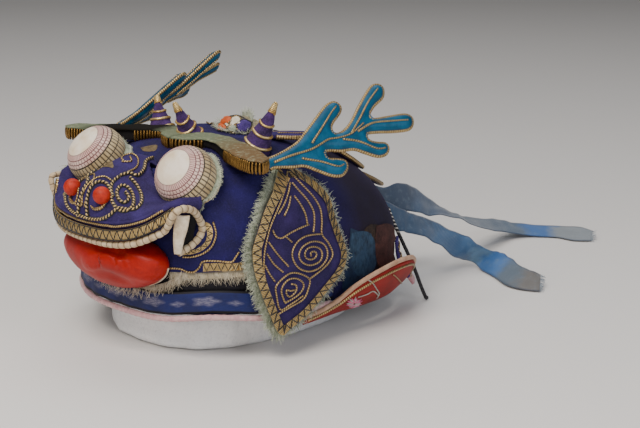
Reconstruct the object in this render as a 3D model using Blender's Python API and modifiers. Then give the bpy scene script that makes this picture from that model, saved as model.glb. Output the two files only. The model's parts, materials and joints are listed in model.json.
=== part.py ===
"""Child's padded qilin hat on a plain foam stand.

Lengths in the tables below are millimetres and become metres when a mesh is made.
+Z is up and the face looks toward -Y. The origin is the middle of the foam's underside.
"""
import math

import bmesh
import bpy
from mathutils import Matrix, Vector

MM = 0.001

# Clearance left between pieces that are sewn or stacked together
GAP = 0.35

# Crown: a padded cap with an oval plan and a boxy dome
CROWN_HALF_WIDTH = 66.0
CROWN_FRONT = 76.0
CROWN_BACK = 88.0
CROWN_SHOULDER = 40.0
CROWN_TOP = 100.0
CROWN_RIM_FRONT = 24.0
CROWN_RIM_BACK = 15.0
CROWN_WALL = 3.0
PLAN_POWER = 2.7
DOME_POWER_FRONT = 3.2
DOME_POWER_BACK = 1.8
NECK_NOTCH_HALF_WIDTH = 40.0
NECK_NOTCH_TOP = 50.0

# Head band of woven ribbon and the piping under it
BAND_HEIGHT = 11.5
BAND_WALL = 2.2
BAND_BOTTOM = 22.6
PIPING_DIAMETER = 3.2
PIPING_DROP = 2.2
BAND_START = -184.0
BAND_END = 3.0

# Face cloth sewn over the front of the crown
FACE_WALL = 1.5
FACE_LOW = 47.0
FACE_HIGH = 90.0
FACE_REACH = 66.0

# Muzzle
MUZZLE_HALF_WIDTH = 50.5
MUZZLE_FRONT = 34.0
MUZZLE_BACK = 24.0
MUZZLE_CENTRE_Y = -66.0
LIP_BOTTOM = 62.6
LIP_END = 47.0
LIP_RISE = 15.5
LIP_RISE_POWER_RIGHT = 3.9
LIP_RISE_POWER_LEFT = 8.0
LIP_STRIP = 5.6
LIP_STRIP_WALL = 4.0
LIP_CORD_DIAMETER = 3.8

# Eyes
EYE_CENTRE = (34.6, -65.0, 93.0)
EYE_AXIS = (0.088, -0.80, 0.60)

# Foam stand
FOAM_HALF_WIDTH = 50.0
FOAM_FRONT = 68.0
FOAM_BACK = 64.0
FOAM_HEIGHT = 34.0
FOAM_CORE_HALF_WIDTH = 26.0
FOAM_CORE_HALF_LENGTH = 30.0


# Scene helpers

def clear_scene():
    for item in list(bpy.data.objects):
        bpy.data.objects.remove(item, do_unlink=True)


def collection(name):
    found = bpy.data.collections.get(name)
    if found is None:
        found = bpy.data.collections.new(name)
        bpy.context.scene.collection.children.link(found)
    return found


def surface(name, colour, roughness, metallic=0.0):
    material = bpy.data.materials.new(name)
    material.use_nodes = True
    shader = material.node_tree.nodes["Principled BSDF"]
    shader.inputs["Base Color"].default_value = (*colour, 1.0)
    shader.inputs["Roughness"].default_value = roughness
    shader.inputs["Metallic"].default_value = metallic
    return material


def place(name, mesh, material, group="qilin_hat"):
    item = bpy.data.objects.new(name, mesh)
    collection(group).objects.link(item)
    if material is not None:
        mesh.materials.clear()
        mesh.materials.append(material)
    return item


def mesh_from(shape, name):
    mesh = bpy.data.meshes.new(name)
    shape.to_mesh(mesh)
    shape.free()
    return mesh


def evaluated_mesh(item):
    bpy.context.view_layer.update()
    graph = bpy.context.evaluated_depsgraph_get()
    mesh = bpy.data.meshes.new_from_object(item.evaluated_get(graph))
    mesh.transform(item.matrix_world)
    return mesh


def settle(item):
    """Replace a modified or curve object by its finished mesh, at the origin."""
    name = item.name
    material = item.data.materials[0] if item.data.materials else None
    mesh = evaluated_mesh(item)
    shape = bmesh.new()
    shape.from_mesh(mesh)
    bmesh.ops.remove_doubles(shape, verts=shape.verts, dist=0.000001)
    bmesh.ops.recalc_face_normals(shape, faces=shape.faces)
    shape.to_mesh(mesh)
    shape.free()
    group = item.users_collection[0].name
    bpy.data.objects.remove(item, do_unlink=True)
    mesh.name = name
    return place(name, mesh, material, group)


def keep_main_body(item):
    """Drop the crumbs a cut leaves and keep the piece with the most faces."""
    shape = bmesh.new()
    shape.from_mesh(item.data)
    left = set(shape.faces)
    bodies = []
    while left:
        stack = [left.pop()]
        body = set(stack)
        while stack:
            for edge in stack.pop().edges:
                for face in edge.link_faces:
                    if face in left:
                        left.discard(face)
                        body.add(face)
                        stack.append(face)
        bodies.append(body)
    bodies.sort(key=lambda body: sum(face.calc_area() for face in body))
    for body in bodies[:-1]:
        bmesh.ops.delete(shape, geom=list(body), context="FACES")
    shape.to_mesh(item.data)
    shape.free()
    return item


def as_cutter(mesh, name):
    item = place(name, mesh, None, "cutters")
    item.hide_render = True
    item.display_type = "WIRE"
    return item


def grown(item, clearance):
    """Cutter in the shape of a finished piece, larger by one clearance."""
    mesh = item.data.copy()
    shape = bmesh.new()
    shape.from_mesh(mesh)
    shape.normal_update()
    moves = [vert.normal * clearance * MM * min(2.0, vert.calc_shell_factor()) for vert in shape.verts]
    for vert, move in zip(shape.verts, moves):
        vert.co += move
    shape.to_mesh(mesh)
    shape.free()
    return as_cutter(mesh, item.name + "_cutter")


def combine(item, cutter, operation="DIFFERENCE"):
    change = item.modifiers.new("fit", "BOOLEAN")
    change.operation = operation
    change.object = cutter
    return keep_main_body(settle(item))


def fit_around(item, neighbours, clearance=GAP):
    for neighbour in neighbours:
        item = combine(item, grown(neighbour, clearance))
    return item


def mirrored(item, name):
    mesh = item.data.copy()
    mesh.name = name
    mesh.transform(Matrix.Scale(-1.0, 4, (1.0, 0.0, 0.0)))
    mesh.flip_normals()
    material = item.data.materials[0] if item.data.materials else None
    return place(name, mesh, material)


def mirrored_cutter(item):
    """A left-hand piece seen in the mirror, so that one right-hand cut clears both sides."""
    mesh = item.data.copy()
    mesh.transform(Matrix.Scale(-1.0, 4, (1.0, 0.0, 0.0)))
    mesh.flip_normals()
    return as_cutter(mesh, item.name + "_mirror")


def both_sides(items):
    return list(items) + [mirrored_cutter(item) for item in items]


def smooth_rounds(item, angle=40.0):
    item.data.shade_smooth()
    item.data.set_sharp_from_angle(angle=math.radians(angle))
    return item


# Curves and tables

def spline_point(points, position):
    """Point on a smooth curve through the given points, position counted in points."""
    last = len(points) - 1
    index = min(int(position), last - 1)
    t = position - index
    p0 = Vector(points[max(index - 1, 0)])
    p1 = Vector(points[index])
    p2 = Vector(points[index + 1])
    p3 = Vector(points[min(index + 2, last)])
    return 0.5 * (2 * p1 + (p2 - p0) * t + (2 * p0 - 5 * p1 + 4 * p2 - p3) * t ** 2
                  + (3 * p1 - p0 - 3 * p2 + p3) * t ** 3)


def spline_path(points, step):
    """The smooth curve through the points, with one point for each step of its length."""
    fine = [spline_point(points, i / 24) for i in range(24 * (len(points) - 1) + 1)]
    lengths = [0.0]
    for before, after in zip(fine, fine[1:]):
        lengths.append(lengths[-1] + (after - before).length)
    count = max(2, round(lengths[-1] / step))
    path = []
    cursor = 0
    for i in range(count + 1):
        wanted = lengths[-1] * i / count
        while cursor < len(fine) - 2 and lengths[cursor + 1] < wanted:
            cursor += 1
        span = lengths[cursor + 1] - lengths[cursor]
        share = (wanted - lengths[cursor]) / span if span else 0.0
        path.append(fine[cursor].lerp(fine[cursor + 1], min(1.0, share)))
    return path


def table_value(rows, key, column):
    """Value of one column of a table, read smoothly between its rows by the first column."""
    first, last = rows[0][0], rows[-1][0]
    sign = 1.0 if last > first else -1.0
    key = sign * min(max(sign * key, sign * first), sign * last)
    index = 0
    while index < len(rows) - 2 and sign * rows[index + 1][0] < sign * key:
        index += 1
    t = (key - rows[index][0]) / (rows[index + 1][0] - rows[index][0])
    v = [rows[min(max(index + k, 0), len(rows) - 1)][column] for k in (-1, 0, 1, 2)]
    return 0.5 * (2 * v[1] + (v[2] - v[0]) * t + (2 * v[0] - 5 * v[1] + 4 * v[2] - v[3]) * t ** 2
                  + (3 * v[1] - v[0] - 3 * v[2] + v[3]) * t ** 3)


# Shapes

def round_cord(name, points, diameter, material, step, closed=False):
    path = spline_path(points, step)
    data = bpy.data.curves.new(name, "CURVE")
    data.dimensions = "3D"
    data.bevel_depth = diameter / 2 * MM
    data.bevel_resolution = 2
    data.use_fill_caps = not closed
    spline = data.splines.new("POLY")
    spline.points.add(len(path) - 1)
    for target, point in zip(spline.points, path):
        target.co = (*(point * MM), 1.0)
    spline.use_cyclic_u = closed
    item = bpy.data.objects.new(name, data)
    collection("qilin_hat").objects.link(item)
    data.materials.append(material)
    return smooth_rounds(settle(item))


def flat_plate(name, outline, thickness, frame, material):
    """Flat outline of the given thickness, laid in a frame whose Z is the plate's normal."""
    data = bpy.data.curves.new(name, "CURVE")
    data.dimensions = "2D"
    data.fill_mode = "BOTH"
    data.extrude = thickness / 2 * MM
    spline = data.splines.new("POLY")
    spline.points.add(len(outline) - 1)
    for target, point in zip(spline.points, outline):
        target.co = (point[0] * MM, point[1] * MM, 0.0, 1.0)
    spline.use_cyclic_u = True
    item = bpy.data.objects.new(name, data)
    collection("qilin_hat").objects.link(item)
    data.materials.append(material)
    item.matrix_world = frame
    return settle(item)


def frame_at(origin, along, normal):
    z = Vector(normal).normalized()
    x = (Vector(along) - z * Vector(along).dot(z)).normalized()
    y = z.cross(x)
    frame = Matrix((x, y, z)).transposed().to_4x4()
    frame.translation = Vector(origin) * MM
    return frame


def cloth_patch(name, columns, rows, where, thickness, material, outward=1.0):
    """Grid shaped by where(u, v), both 0 to 1, thickened away from its inner side."""
    shape = bmesh.new()
    bmesh.ops.create_grid(shape, x_segments=columns, y_segments=rows, size=0.5)
    for vert in shape.verts:
        vert.co = where(vert.co.x + 0.5, vert.co.y + 0.5) * MM
    item = place(name, mesh_from(shape, name), material)
    wall = item.modifiers.new("wall", "SOLIDIFY")
    wall.thickness = thickness * MM
    wall.offset = outward
    return smooth_rounds(settle(item))


def turned(name, profile, steps, frame, material):
    """Solid of revolution about its own Z; the profile runs top to bottom at +X."""
    mesh = bpy.data.meshes.new(name)
    verts = [(radius * MM, 0.0, height * MM) for radius, height in profile]
    edges = [(i, i + 1) for i in range(len(verts) - 1)]
    mesh.from_pydata(verts, edges, [])
    item = place(name, mesh, material)
    item.matrix_world = frame
    screw = item.modifiers.new("turn", "SCREW")
    screw.steps = steps
    screw.render_steps = steps
    screw.use_merge_vertices = True
    screw.merge_threshold = 0.00001
    return smooth_rounds(settle(item))


# Crown surface, shared by everything that is sewn to it

def crown_reach(angle, off=0.0):
    depth = CROWN_BACK if math.sin(angle) > 0 else CROWN_FRONT
    across = abs(math.cos(angle)) / (CROWN_HALF_WIDTH + off)
    along = abs(math.sin(angle)) / (depth + off)
    return (across ** PLAN_POWER + along ** PLAN_POWER) ** (-1.0 / PLAN_POWER)


def dome_power(angle):
    """The dome is boxy over the face and rounds off toward the nape."""
    share = min(1.0, max(0.0, (math.sin(angle) + 0.1) / 0.8))
    share = share * share * (3.0 - 2.0 * share)
    return DOME_POWER_FRONT + (DOME_POWER_BACK - DOME_POWER_FRONT) * share


def crown_shrink(angle, z, off=0.0):
    rise = (z - CROWN_SHOULDER) / (CROWN_TOP + off - CROWN_SHOULDER)
    rise = min(1.0, max(0.0, rise))
    power = dome_power(angle)
    return (1.0 - rise ** power) ** (1.0 / power)


def crown_point(angle, z, off=0.0):
    reach = crown_reach(angle, off) * crown_shrink(angle, z, off)
    return Vector((reach * math.cos(angle), reach * math.sin(angle), z))


def crown_height(x, y):
    """Height of the dome's outside above a point of its plan."""
    angle = math.atan2(y, x)
    share = min(1.0, math.hypot(x, y) / crown_reach(angle))
    power = dome_power(angle)
    rise = (1.0 - share ** power) ** (1.0 / power)
    return CROWN_SHOULDER + rise * (CROWN_TOP - CROWN_SHOULDER)


def side_point(y, z, off=0.0):
    """Point of the crown's +X side at a given y and height."""
    depth = (CROWN_BACK if y > 0 else CROWN_FRONT) + off
    x = CROWN_HALF_WIDTH
    for _ in range(4):
        shrink = crown_shrink(math.atan2(y, x), z, off)
        share = min(0.98, abs(y) / (depth * shrink))
        x = (CROWN_HALF_WIDTH + off) * shrink * (1.0 - share ** PLAN_POWER) ** (1.0 / PLAN_POWER)
    return Vector((x, y, z))


def crown_rim(angle):
    back = 0.5 + 0.5 * math.sin(angle)
    return CROWN_RIM_FRONT + (CROWN_RIM_BACK - CROWN_RIM_FRONT) * min(1.0, max(0.0, 3 * back - 1.2))


def dome_shape(off, floor=None):
    """Sphere reshaped into the crown's outside; open at the rim unless a floor is given."""
    shape = bmesh.new()
    bmesh.ops.create_uvsphere(shape, u_segments=32, v_segments=16, radius=1.0)
    if floor is None:
        below = [vert for vert in shape.verts if vert.co.z < -0.01]
        bmesh.ops.delete(shape, geom=below, context="VERTS")
    wall_latitude = math.radians(22.5)
    for vert in shape.verts:
        latitude = math.asin(max(-1.0, min(1.0, vert.co.z)))
        angle = math.atan2(vert.co.y, vert.co.x)
        top = CROWN_TOP + off
        if latitude < -0.01:
            spread = math.cos(latitude)
            z = floor
            reach = crown_reach(angle, off) * spread
        elif latitude < wall_latitude + 0.01:
            low = crown_rim(angle) if floor is None else floor + 1.0
            z = low + (CROWN_SHOULDER - low) * latitude / wall_latitude
            reach = crown_reach(angle, off)
        else:
            phi = (latitude - wall_latitude) / (math.pi / 2 - wall_latitude) * math.pi / 2
            bend = 2.0 / dome_power(angle)
            z = CROWN_SHOULDER + (top - CROWN_SHOULDER) * math.sin(phi) ** bend
            reach = crown_reach(angle, off) * max(0.0, math.cos(phi)) ** bend
        vert.co = Vector((reach * math.cos(angle), reach * math.sin(angle), z)) * MM
    return shape


def make_crown(material):
    item = place("crown", mesh_from(dome_shape(0.0), "crown"), material)
    wall = item.modifiers.new("wall", "SOLIDIFY")
    wall.thickness = CROWN_WALL * MM
    wall.offset = -1.0
    item = settle(item)
    shape = bmesh.new()
    bmesh.ops.create_cone(shape, cap_ends=True, segments=28, radius1=1.0, radius2=1.0, depth=1.0)
    high = NECK_NOTCH_TOP - CROWN_RIM_BACK
    for vert in shape.verts:
        across, up, along = vert.co.x, vert.co.y, vert.co.z
        vert.co = Vector((across * NECK_NOTCH_HALF_WIDTH, 88.0 + along * 80.0,
                          CROWN_RIM_BACK + up * high)) * MM
    bmesh.ops.recalc_face_normals(shape, faces=shape.faces)
    notch = as_cutter(mesh_from(shape, "neck_notch"), "neck_notch")
    return smooth_rounds(combine(item, notch), 50.0)


def band_low(angle):
    """Height of the band's lower edge, which lifts a little beside each cheek."""
    turn = math.degrees(angle) % 360.0 - 360.0
    side = min(abs(turn + 50.0), abs(turn + 130.0))
    return BAND_BOTTOM + 3.2 * math.exp(-(side / 15.0) ** 2)


def make_head_band(material):
    def where(u, v):
        angle = math.radians(BAND_START + (BAND_END - BAND_START) * u)
        point = crown_point(angle, CROWN_SHOULDER - 1.0, GAP + 0.3)
        point.z = band_low(angle) + BAND_HEIGHT * v
        return point
    return cloth_patch("head_band", 36, 1, where, BAND_WALL, material)


def make_band_piping(material):
    points = []
    for i in range(33):
        angle = math.radians(BAND_START + 1.0 + (BAND_END - BAND_START - 2.0) * i / 32)
        point = crown_point(angle, CROWN_SHOULDER - 1.0, 2.0)
        point.z = band_low(angle) - PIPING_DROP
        points.append(point)
    return round_cord("band_piping", points, PIPING_DIAMETER, material, 12.5)


def make_face_cloth(material):
    def where(u, v):
        angle = math.radians(-90.0 - FACE_REACH + 2 * FACE_REACH * u)
        dip = 3.5 * math.exp(-((math.degrees(angle) + 90.0) / 26.0) ** 2)
        low = FACE_LOW - dip
        z = low + (FACE_HIGH - low) * v
        return crown_point(angle, z, GAP + 0.3)
    return cloth_patch("face_cloth", 22, 5, where, FACE_WALL, material)


# Muzzle, lips and mouth

def lip_height(x):
    power = LIP_RISE_POWER_RIGHT if x > 0 else LIP_RISE_POWER_LEFT
    return LIP_BOTTOM + LIP_RISE * (min(abs(x), 48.5) / LIP_END) ** power


def muzzle_plan(angle, off=0.0):
    """Plan outline of the muzzle; at -90 degrees it is the middle of the lip."""
    depth, power = (MUZZLE_FRONT, 2.0) if math.sin(angle) < 0 else (MUZZLE_BACK, 1.15)
    across = abs(math.cos(angle)) / (MUZZLE_HALF_WIDTH + off)
    along = abs(math.sin(angle)) / (depth + off)
    reach = (across ** power + along ** power) ** (-1.0 / power)
    return Vector((reach * math.cos(angle), MUZZLE_CENTRE_Y + reach * math.sin(angle), 0.0))


def make_muzzle(material, crown_block, others):
    """Soft dome over the lip; below its edge it steps back behind the lip strip."""
    shape = bmesh.new()
    bmesh.ops.create_uvsphere(shape, u_segments=28, v_segments=12, radius=1.0)
    for vert in shape.verts:
        up = vert.co.z
        spread = math.sqrt(max(0.0, 1.0 - up * up))
        angle = math.atan2(vert.co.y, vert.co.x)
        centre = Vector((0.0, MUZZLE_CENTRE_Y, 0.0))
        if up > -0.01:
            point = centre.lerp(muzzle_plan(angle), spread ** 0.7)
            swell = 8.0 + 18.0 * math.exp(-(point.x / 22.0) ** 2)
            point.z = lip_height(point.x) + LIP_STRIP + GAP + swell * max(0.0, up) ** 0.62
        else:
            point = centre.lerp(muzzle_plan(angle, -0.4), min(1.0, spread / 0.96))
            point.z = lip_height(point.x) + 0.9
        vert.co = point * MM
    item = place("muzzle", mesh_from(shape, "muzzle"), material)
    item = combine(item, crown_block)
    item = fit_around(item, others, 0.6)
    return smooth_rounds(item, 50.0)


LIP_SPAN = 72.0


def lip_path(off, drop, reach=LIP_SPAN):
    points = []
    for i in range(25):
        angle = math.radians(-90.0 - reach + 2 * reach * i / 24)
        point = muzzle_plan(angle, off)
        point.z = lip_height(point.x) + drop
        points.append(point)
    return points


def make_lip_strip(material):
    outer = lip_path(0.0, 0.0)

    def where(u, v):
        point = spline_point(outer, 24 * u)
        bulge = 0.8 * math.sin(math.pi * v)
        away = Vector((point.x, (point.y - MUZZLE_CENTRE_Y), 0.0)).normalized()
        return point + away * bulge + Vector((0.0, 0.0, LIP_STRIP * v))
    return cloth_patch("lip_strip", 24, 2, where, LIP_STRIP_WALL, material, -1.0)


# Corner of the mouth, from the lip's end over the fang and round onto the cheek: x, y, z
MOUTH_CORNER = [
    (48.0, -82.5, 79.0),
    (49.0, -77.7, 81.0),
    (48.5, -71.0, 78.7),
    (47.0, -66.0, 73.6),
    (46.5, -63.5, 68.6),
    (46.0, -65.0, 64.2),
    (45.0, -69.5, 60.5),
    (43.5, -77.0, 57.6),
]


def make_lip_cord(material, others):
    middle = lip_path(-1.6, -LIP_CORD_DIAMETER / 2 - GAP, 68.0)
    right = [Vector(point) for point in MOUTH_CORNER]
    left = [Vector((-point.x, point.y, point.z)) for point in reversed(right)]
    item = round_cord("lip_cord", left + middle + right, LIP_CORD_DIAMETER, material, 10.0)
    return fit_around(item, others)


POUCH_CENTRE = (0.0, -80.0, 50.0)
POUCH_SIZE = (38.0, 16.5, 17.0)


def make_mouth_pouch(material, crown_block, others):
    shape = bmesh.new()
    bmesh.ops.create_uvsphere(shape, u_segments=18, v_segments=10, radius=1.0)
    for vert in shape.verts:
        x, y, z = vert.co
        low = max(0.0, -z)
        wide = 1.0 - 0.06 * low
        height = POUCH_SIZE[2] if z < 0 else 14.0
        vert.co = Vector((POUCH_CENTRE[0] + POUCH_SIZE[0] * x * wide,
                          POUCH_CENTRE[1] + POUCH_SIZE[1] * y * (1.0 + 0.06 * z),
                          POUCH_CENTRE[2] + height * z)) * MM
    item = place("mouth_pouch", mesh_from(shape, "mouth_pouch"), material)
    item = combine(item, crown_block)
    item = fit_around(item, others)
    return smooth_rounds(item, 50.0)


# Fang, one row per end: x, y, z, width
FANG = [
    (48.0, -77.3, 77.3, 7.2),
    (47.6, -78.2, 71.0, 6.8),
    (46.3, -78.6, 64.5, 5.2),
    (44.3, -77.5, 57.6, 3.6),
]
FANG_WALL = 2.4


def make_fang(name, material, others):
    across = Vector((0.72, 0.69, 0.0))

    def where(u, v):
        rows = [Vector((row[0], row[1], row[2])) for row in FANG]
        middle = spline_point(rows, 3 * v)
        width = table_value([(i, row[3]) for i, row in enumerate(FANG)], 3 * v, 1)
        return middle + across * (0.5 - u) * width
    item = cloth_patch(name, 2, 6, where, FANG_WALL, material, -1.0)
    return fit_around(item, others)


# Eyes, brows, nostrils

# Eye profile: radius, distance in front of the eye's middle
EYE_PROFILE = [
    (0.0, 9.0),
    (9.8, 8.4),
    (12.2, 6.8),
    (14.2, 3.6),
    (15.2, 0.0),
    (15.0, -3.0),
    (13.6, -5.2),
    (12.8, -20.0),
    (0.0, -20.0),
]


def make_eye(name, material, crown_block, others):
    frame = frame_at(EYE_CENTRE, (1.0, 0.0, 0.0), EYE_AXIS)
    item = turned(name, EYE_PROFILE, 18, frame, material)
    item = combine(item, crown_block)
    item = fit_around(item, others, 0.7)
    return smooth_rounds(item, 50.0)


# Plan outline of one brow, front edge out from the middle, then back along the rear: x, y
BROW = [
    (1.0, -43.5),
    (5.0, -42.5),
    (10.0, -40.0),
    (14.0, -35.5),
    (19.0, -34.0),
    (26.0, -35.5),
    (34.0, -39.0),
    (43.0, -42.5),
    (54.0, -46.0),
    (64.0, -47.5),
    (69.0, -45.0),
    (67.0, -39.0),
    (58.0, -34.5),
    (48.0, -30.0),
    (34.0, -25.5),
    (20.0, -22.0),
    (8.0, -24.0),
    (1.0, -30.0),
]
BROW_TOP = 103.4
BROW_THICKNESS = 6.8
# How far each brow's outer end sinks below its inner end, in degrees
BROW_FALL_RIGHT = 1.0
BROW_FALL_LEFT = 3.5
# How much further out and forward the left brow's outer end reaches
BROW_LEFT_REACH = 6.3


def make_brow(name, side, fall, material, crown_block, others):
    outline = BROW
    if side < 0:
        outline = []
        for x, y in reversed(BROW):
            shift = BROW_LEFT_REACH * min(1.0, max(0.0, (x - 28.0) / 30.0))
            outline.append((-x - shift, y - shift))
    frame = (Matrix.Translation(Vector((0.0, 0.0, BROW_TOP - BROW_THICKNESS / 2)) * MM)
             @ Matrix.Rotation(math.radians(side * fall), 4, "Y"))
    item = flat_plate(name, outline, BROW_THICKNESS, frame, material)
    item = combine(item, crown_block)
    return fit_around(item, others)


NOSTRIL_CENTRE = (11.5, -96.8, 84.3)
NOSTRIL_RADIUS = 4.3


def make_nostril(name, material, muzzle):
    shape = bmesh.new()
    bmesh.ops.create_uvsphere(shape, u_segments=12, v_segments=6, radius=NOSTRIL_RADIUS * MM)
    bmesh.ops.translate(shape, verts=shape.verts, vec=Vector(NOSTRIL_CENTRE) * MM)
    item = place(name, mesh_from(shape, name), material)
    item = fit_around(item, [muzzle])
    return smooth_rounds(item, 50.0)


# Horns: name, foot x, y, z, tip x, y, z, foot radius
HORNS = [
    ("horn_left", -34.0, -20.0, 96.0, -41.0, -17.0, 114.5, 7.6),
    ("horn_middle", -1.0, -27.0, 98.0, -3.0, -37.5, 119.0, 7.6),
    ("horn_right", 34.0, -17.0, 97.0, 42.0, -9.7, 121.5, 8.0),
]
HORN_TIP_RADIUS = 1.1
HORN_ROOT = 6.0


def make_horns(material, crown_block, others):
    made = []
    for name, fx, fy, fz, tx, ty, tz, radius in HORNS:
        foot = Vector((fx, fy, fz))
        tip = Vector((tx, ty, tz))
        axis = tip - foot
        length = axis.length
        profile = [
            (0.0, length),
            (HORN_TIP_RADIUS, length - 0.6),
            (radius * 0.40, length * 0.62),
            (radius * 0.78, length * 0.22),
            (radius, 0.0),
            (radius * 0.9, -HORN_ROOT),
            (0.0, -HORN_ROOT),
        ]
        item = turned(name, profile, 14, frame_at(foot, (1.0, 0.0, 0.0), axis), material)
        item = combine(item, crown_block)
        item = fit_around(item, others)
        made.append(smooth_rounds(item, 50.0))
    return made


# Antler outline in its own plane, root first, round its tines: along, across
ANTLER = [
    (-4.0, 0.9), (6.0, -0.9), (17.9, -1.3), (27.2, 1.0), (39.9, 4.7), (45.7, 6.2), (50.3, 5.9),
    (52.1, 2.9), (50.1, 0.1), (42.2, -2.5), (39.4, -4.8), (39.5, -8.1), (44.8, -9.3),
    (52.0, -7.6), (61.6, -3.2), (71.1, 0.6), (76.0, 1.8), (79.1, 0.5), (79.7, -2.3),
    (76.3, -5.7), (69.0, -6.9), (63.6, -9.0), (63.0, -12.3), (71.1, -15.7), (80.3, -19.4),
    (82.9, -22.6), (81.0, -25.8), (76.8, -26.7), (68.4, -23.1), (59.6, -18.3), (54.6, -16.6),
    (53.3, -20.2), (56.4, -23.6), (60.2, -26.2), (59.9, -29.0), (56.6, -30.6), (52.1, -29.3),
    (47.4, -24.2), (43.3, -19.5), (36.4, -16.4), (31.7, -13.3), (28.2, -12.2), (27.0, -16.0),
    (31.5, -19.3), (34.4, -22.0), (33.1, -25.1), (28.1, -26.7), (23.5, -24.2), (19.2, -19.1),
    (14.0, -12.5), (8.0, -9.5), (-0.4, -4.8), (-4.0, -4.2),
]
# Antler stance: name, side, spread of the lower tines, root x, y, z, direction x, y, z,
# outward normal x, y, z; the left one is curled in, so its lower tines stand closer
ANTLERS = [
    ("antler_right", 1.0, 1.0, 57.0, -29.0, 98.5, 0.033, 0.944, 0.327, 0.784, -0.238, 0.574),
    ("antler_left", -1.0, 0.6, -57.4, -33.6, 96.5, 0.071, 0.914, 0.398, -0.755, -0.251, 0.640),
]
ANTLER_THICKNESS = 4.6


def make_antlers(material, neighbours):
    made = []
    for name, side, spread, rx, ry, rz, ax, ay, az, nx, ny, nz in ANTLERS:
        outline = [(x, side * (y if y > -7.0 else -7.0 + spread * (y + 7.0))) for x, y in ANTLER]
        if side > 0:
            outline.reverse()
        frame = frame_at((rx, ry, rz), (ax, ay, az), (nx, ny, nz))
        item = flat_plate(name, outline, ANTLER_THICKNESS, frame, material)
        made.append(fit_around(item, neighbours))
    return made


# Ears hang flat against the sides, from the brow to below the band

# Ear outline: z, y of the front edge, y of the back edge
EAR = [
    (91.0, -19.0, -14.0),
    (88.0, -25.0, -10.0),
    (83.5, -31.5, -6.0),
    (76.0, -38.5, -0.5),
    (67.0, -43.5, 1.0),
    (58.0, -47.0, 4.0),
    (48.0, -47.5, 6.7),
    (40.0, -46.0, 3.5),
    (31.0, -43.0, -8.0),
    (22.0, -39.5, -21.0),
    (16.5, -37.0, -32.0),
]
EAR_WALL = 2.4
FRINGE_REACH = 4.5
FRINGE_WALL = 1.0


def hang_off(z):
    """How far a hanging leaf stands off the crown: sewn at its top, and clear of the band below."""
    sewn = 3.1 * max(0.0, 1.0 - (EAR[0][0] - z) / 7.0)
    return 3.6 - sewn + 2.4 * min(1.0, max(0.0, (58.0 - z) / 18.0))


def hanging_point(y, z, off):
    point = side_point(y, max(z, CROWN_SHOULDER - 1.0), off)
    point.z = z
    return point


def make_ear(name, material):
    def where(u, v):
        z = EAR[0][0] + (EAR[-1][0] - EAR[0][0]) * v
        front = table_value(EAR, z, 1)
        back = table_value(EAR, z, 2)
        return hanging_point(front + (back - front) * u, z, hang_off(z) + FRINGE_WALL + GAP + 0.45)
    return cloth_patch(name, 4, 12, where, EAR_WALL, material, -1.0)


def make_ear_fringe(name, material):
    """Frayed lining behind the ear: a leaf with locks standing past the ear's edge."""
    rows = 18

    def where(u, v):
        z = EAR[0][0] + (EAR[-1][0] - EAR[0][0]) * v
        lock = FRINGE_REACH if round(v * rows) % 2 else FRINGE_REACH - 1.8
        front = table_value(EAR, z, 1) - lock
        back = table_value(EAR, z, 2) + lock
        low = z - 3.0 * v * v
        return hanging_point(front + (back - front) * u, low, hang_off(low))
    return cloth_patch(name, 4, rows, where, FRINGE_WALL, material, -1.0)


# Fringe under the face cloth, in locks on a narrow backing

def make_face_fringe(name, start, end, material, others):
    count = 18

    def where(u, v):
        angle = math.radians(start + (end - start) * u)
        dip = 3.5 * math.exp(-((math.degrees(angle) + 90.0) / 26.0) ** 2)
        high = FACE_LOW - dip - GAP - 0.3
        lock = 4.8 if round(u * count) % 2 else 3.4
        return crown_point(angle, high - lock * (1.0 - v), GAP + 0.5 + 1.2 * (1.0 - v))
    item = cloth_patch(name, count, 1, where, 1.4, material)
    return fit_around(item, others)


# Side flap, turned up behind the ear: bearing, low z, hem z, low offset, hem offset
FLAP = [
    (-14.0, 13.6, 15.6, 0.8, 1.8),
    (-4.0, 14.2, 17.4, 0.8, 2.6),
    (5.0, 14.6, 21.0, 0.8, 4.0),
    (12.0, 14.4, 26.5, 0.8, 6.5),
    (20.0, 14.0, 31.0, 0.8, 9.5),
    (31.0, 13.5, 33.5, 0.8, 11.5),
    (41.0, 13.0, 31.5, 0.8, 11.5),
    (48.0, 13.0, 25.5, 0.8, 9.5),
    (53.0, 13.0, 18.0, 0.8, 5.5),
]
FLAP_WALL = 2.0


def flap_edge(bearing, share):
    angle = math.radians(bearing)
    low = table_value(FLAP, bearing, 1)
    high = table_value(FLAP, bearing, 2)
    near = table_value(FLAP, bearing, 3)
    far = table_value(FLAP, bearing, 4)
    bow = 0.16 * (far - near) * math.sin(math.pi * share)
    off = near + (far - near) * share + bow
    point = crown_point(angle, CROWN_SHOULDER - 1.0, off)
    point.z = low + (high - low) * share
    return point


def make_side_flap(name, material, others):
    def where(u, v):
        return flap_edge(FLAP[0][0] + (FLAP[-1][0] - FLAP[0][0]) * u, v)
    item = cloth_patch(name, 16, 3, where, FLAP_WALL, material)
    return fit_around(item, others)


def make_flap_piping(name, material, others):
    points = []
    for i in range(17):
        bearing = FLAP[0][0] + (FLAP[-1][0] - FLAP[0][0]) * i / 16
        edge = flap_edge(bearing, 1.0)
        inner = flap_edge(bearing, 0.9)
        away = Vector((edge.x, edge.y, 0.0)).normalized()
        points.append(edge + (edge - inner).normalized() * 1.4 + away * 1.0)
    item = round_cord(name, points, 3.0, material, 13.0)
    return fit_around(item, others)


# Band end beside the neck opening: share down its length, bearing, z, offset
BACK_TAB = [
    (0.0, 54.5, 37.0, 0.8),
    (0.4, 54.5, 28.0, 1.8),
    (0.7, 54.5, 20.0, 5.0),
    (1.0, 54.5, 12.5, 9.5),
]
BACK_TAB_WIDTH = 7.0


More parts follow.
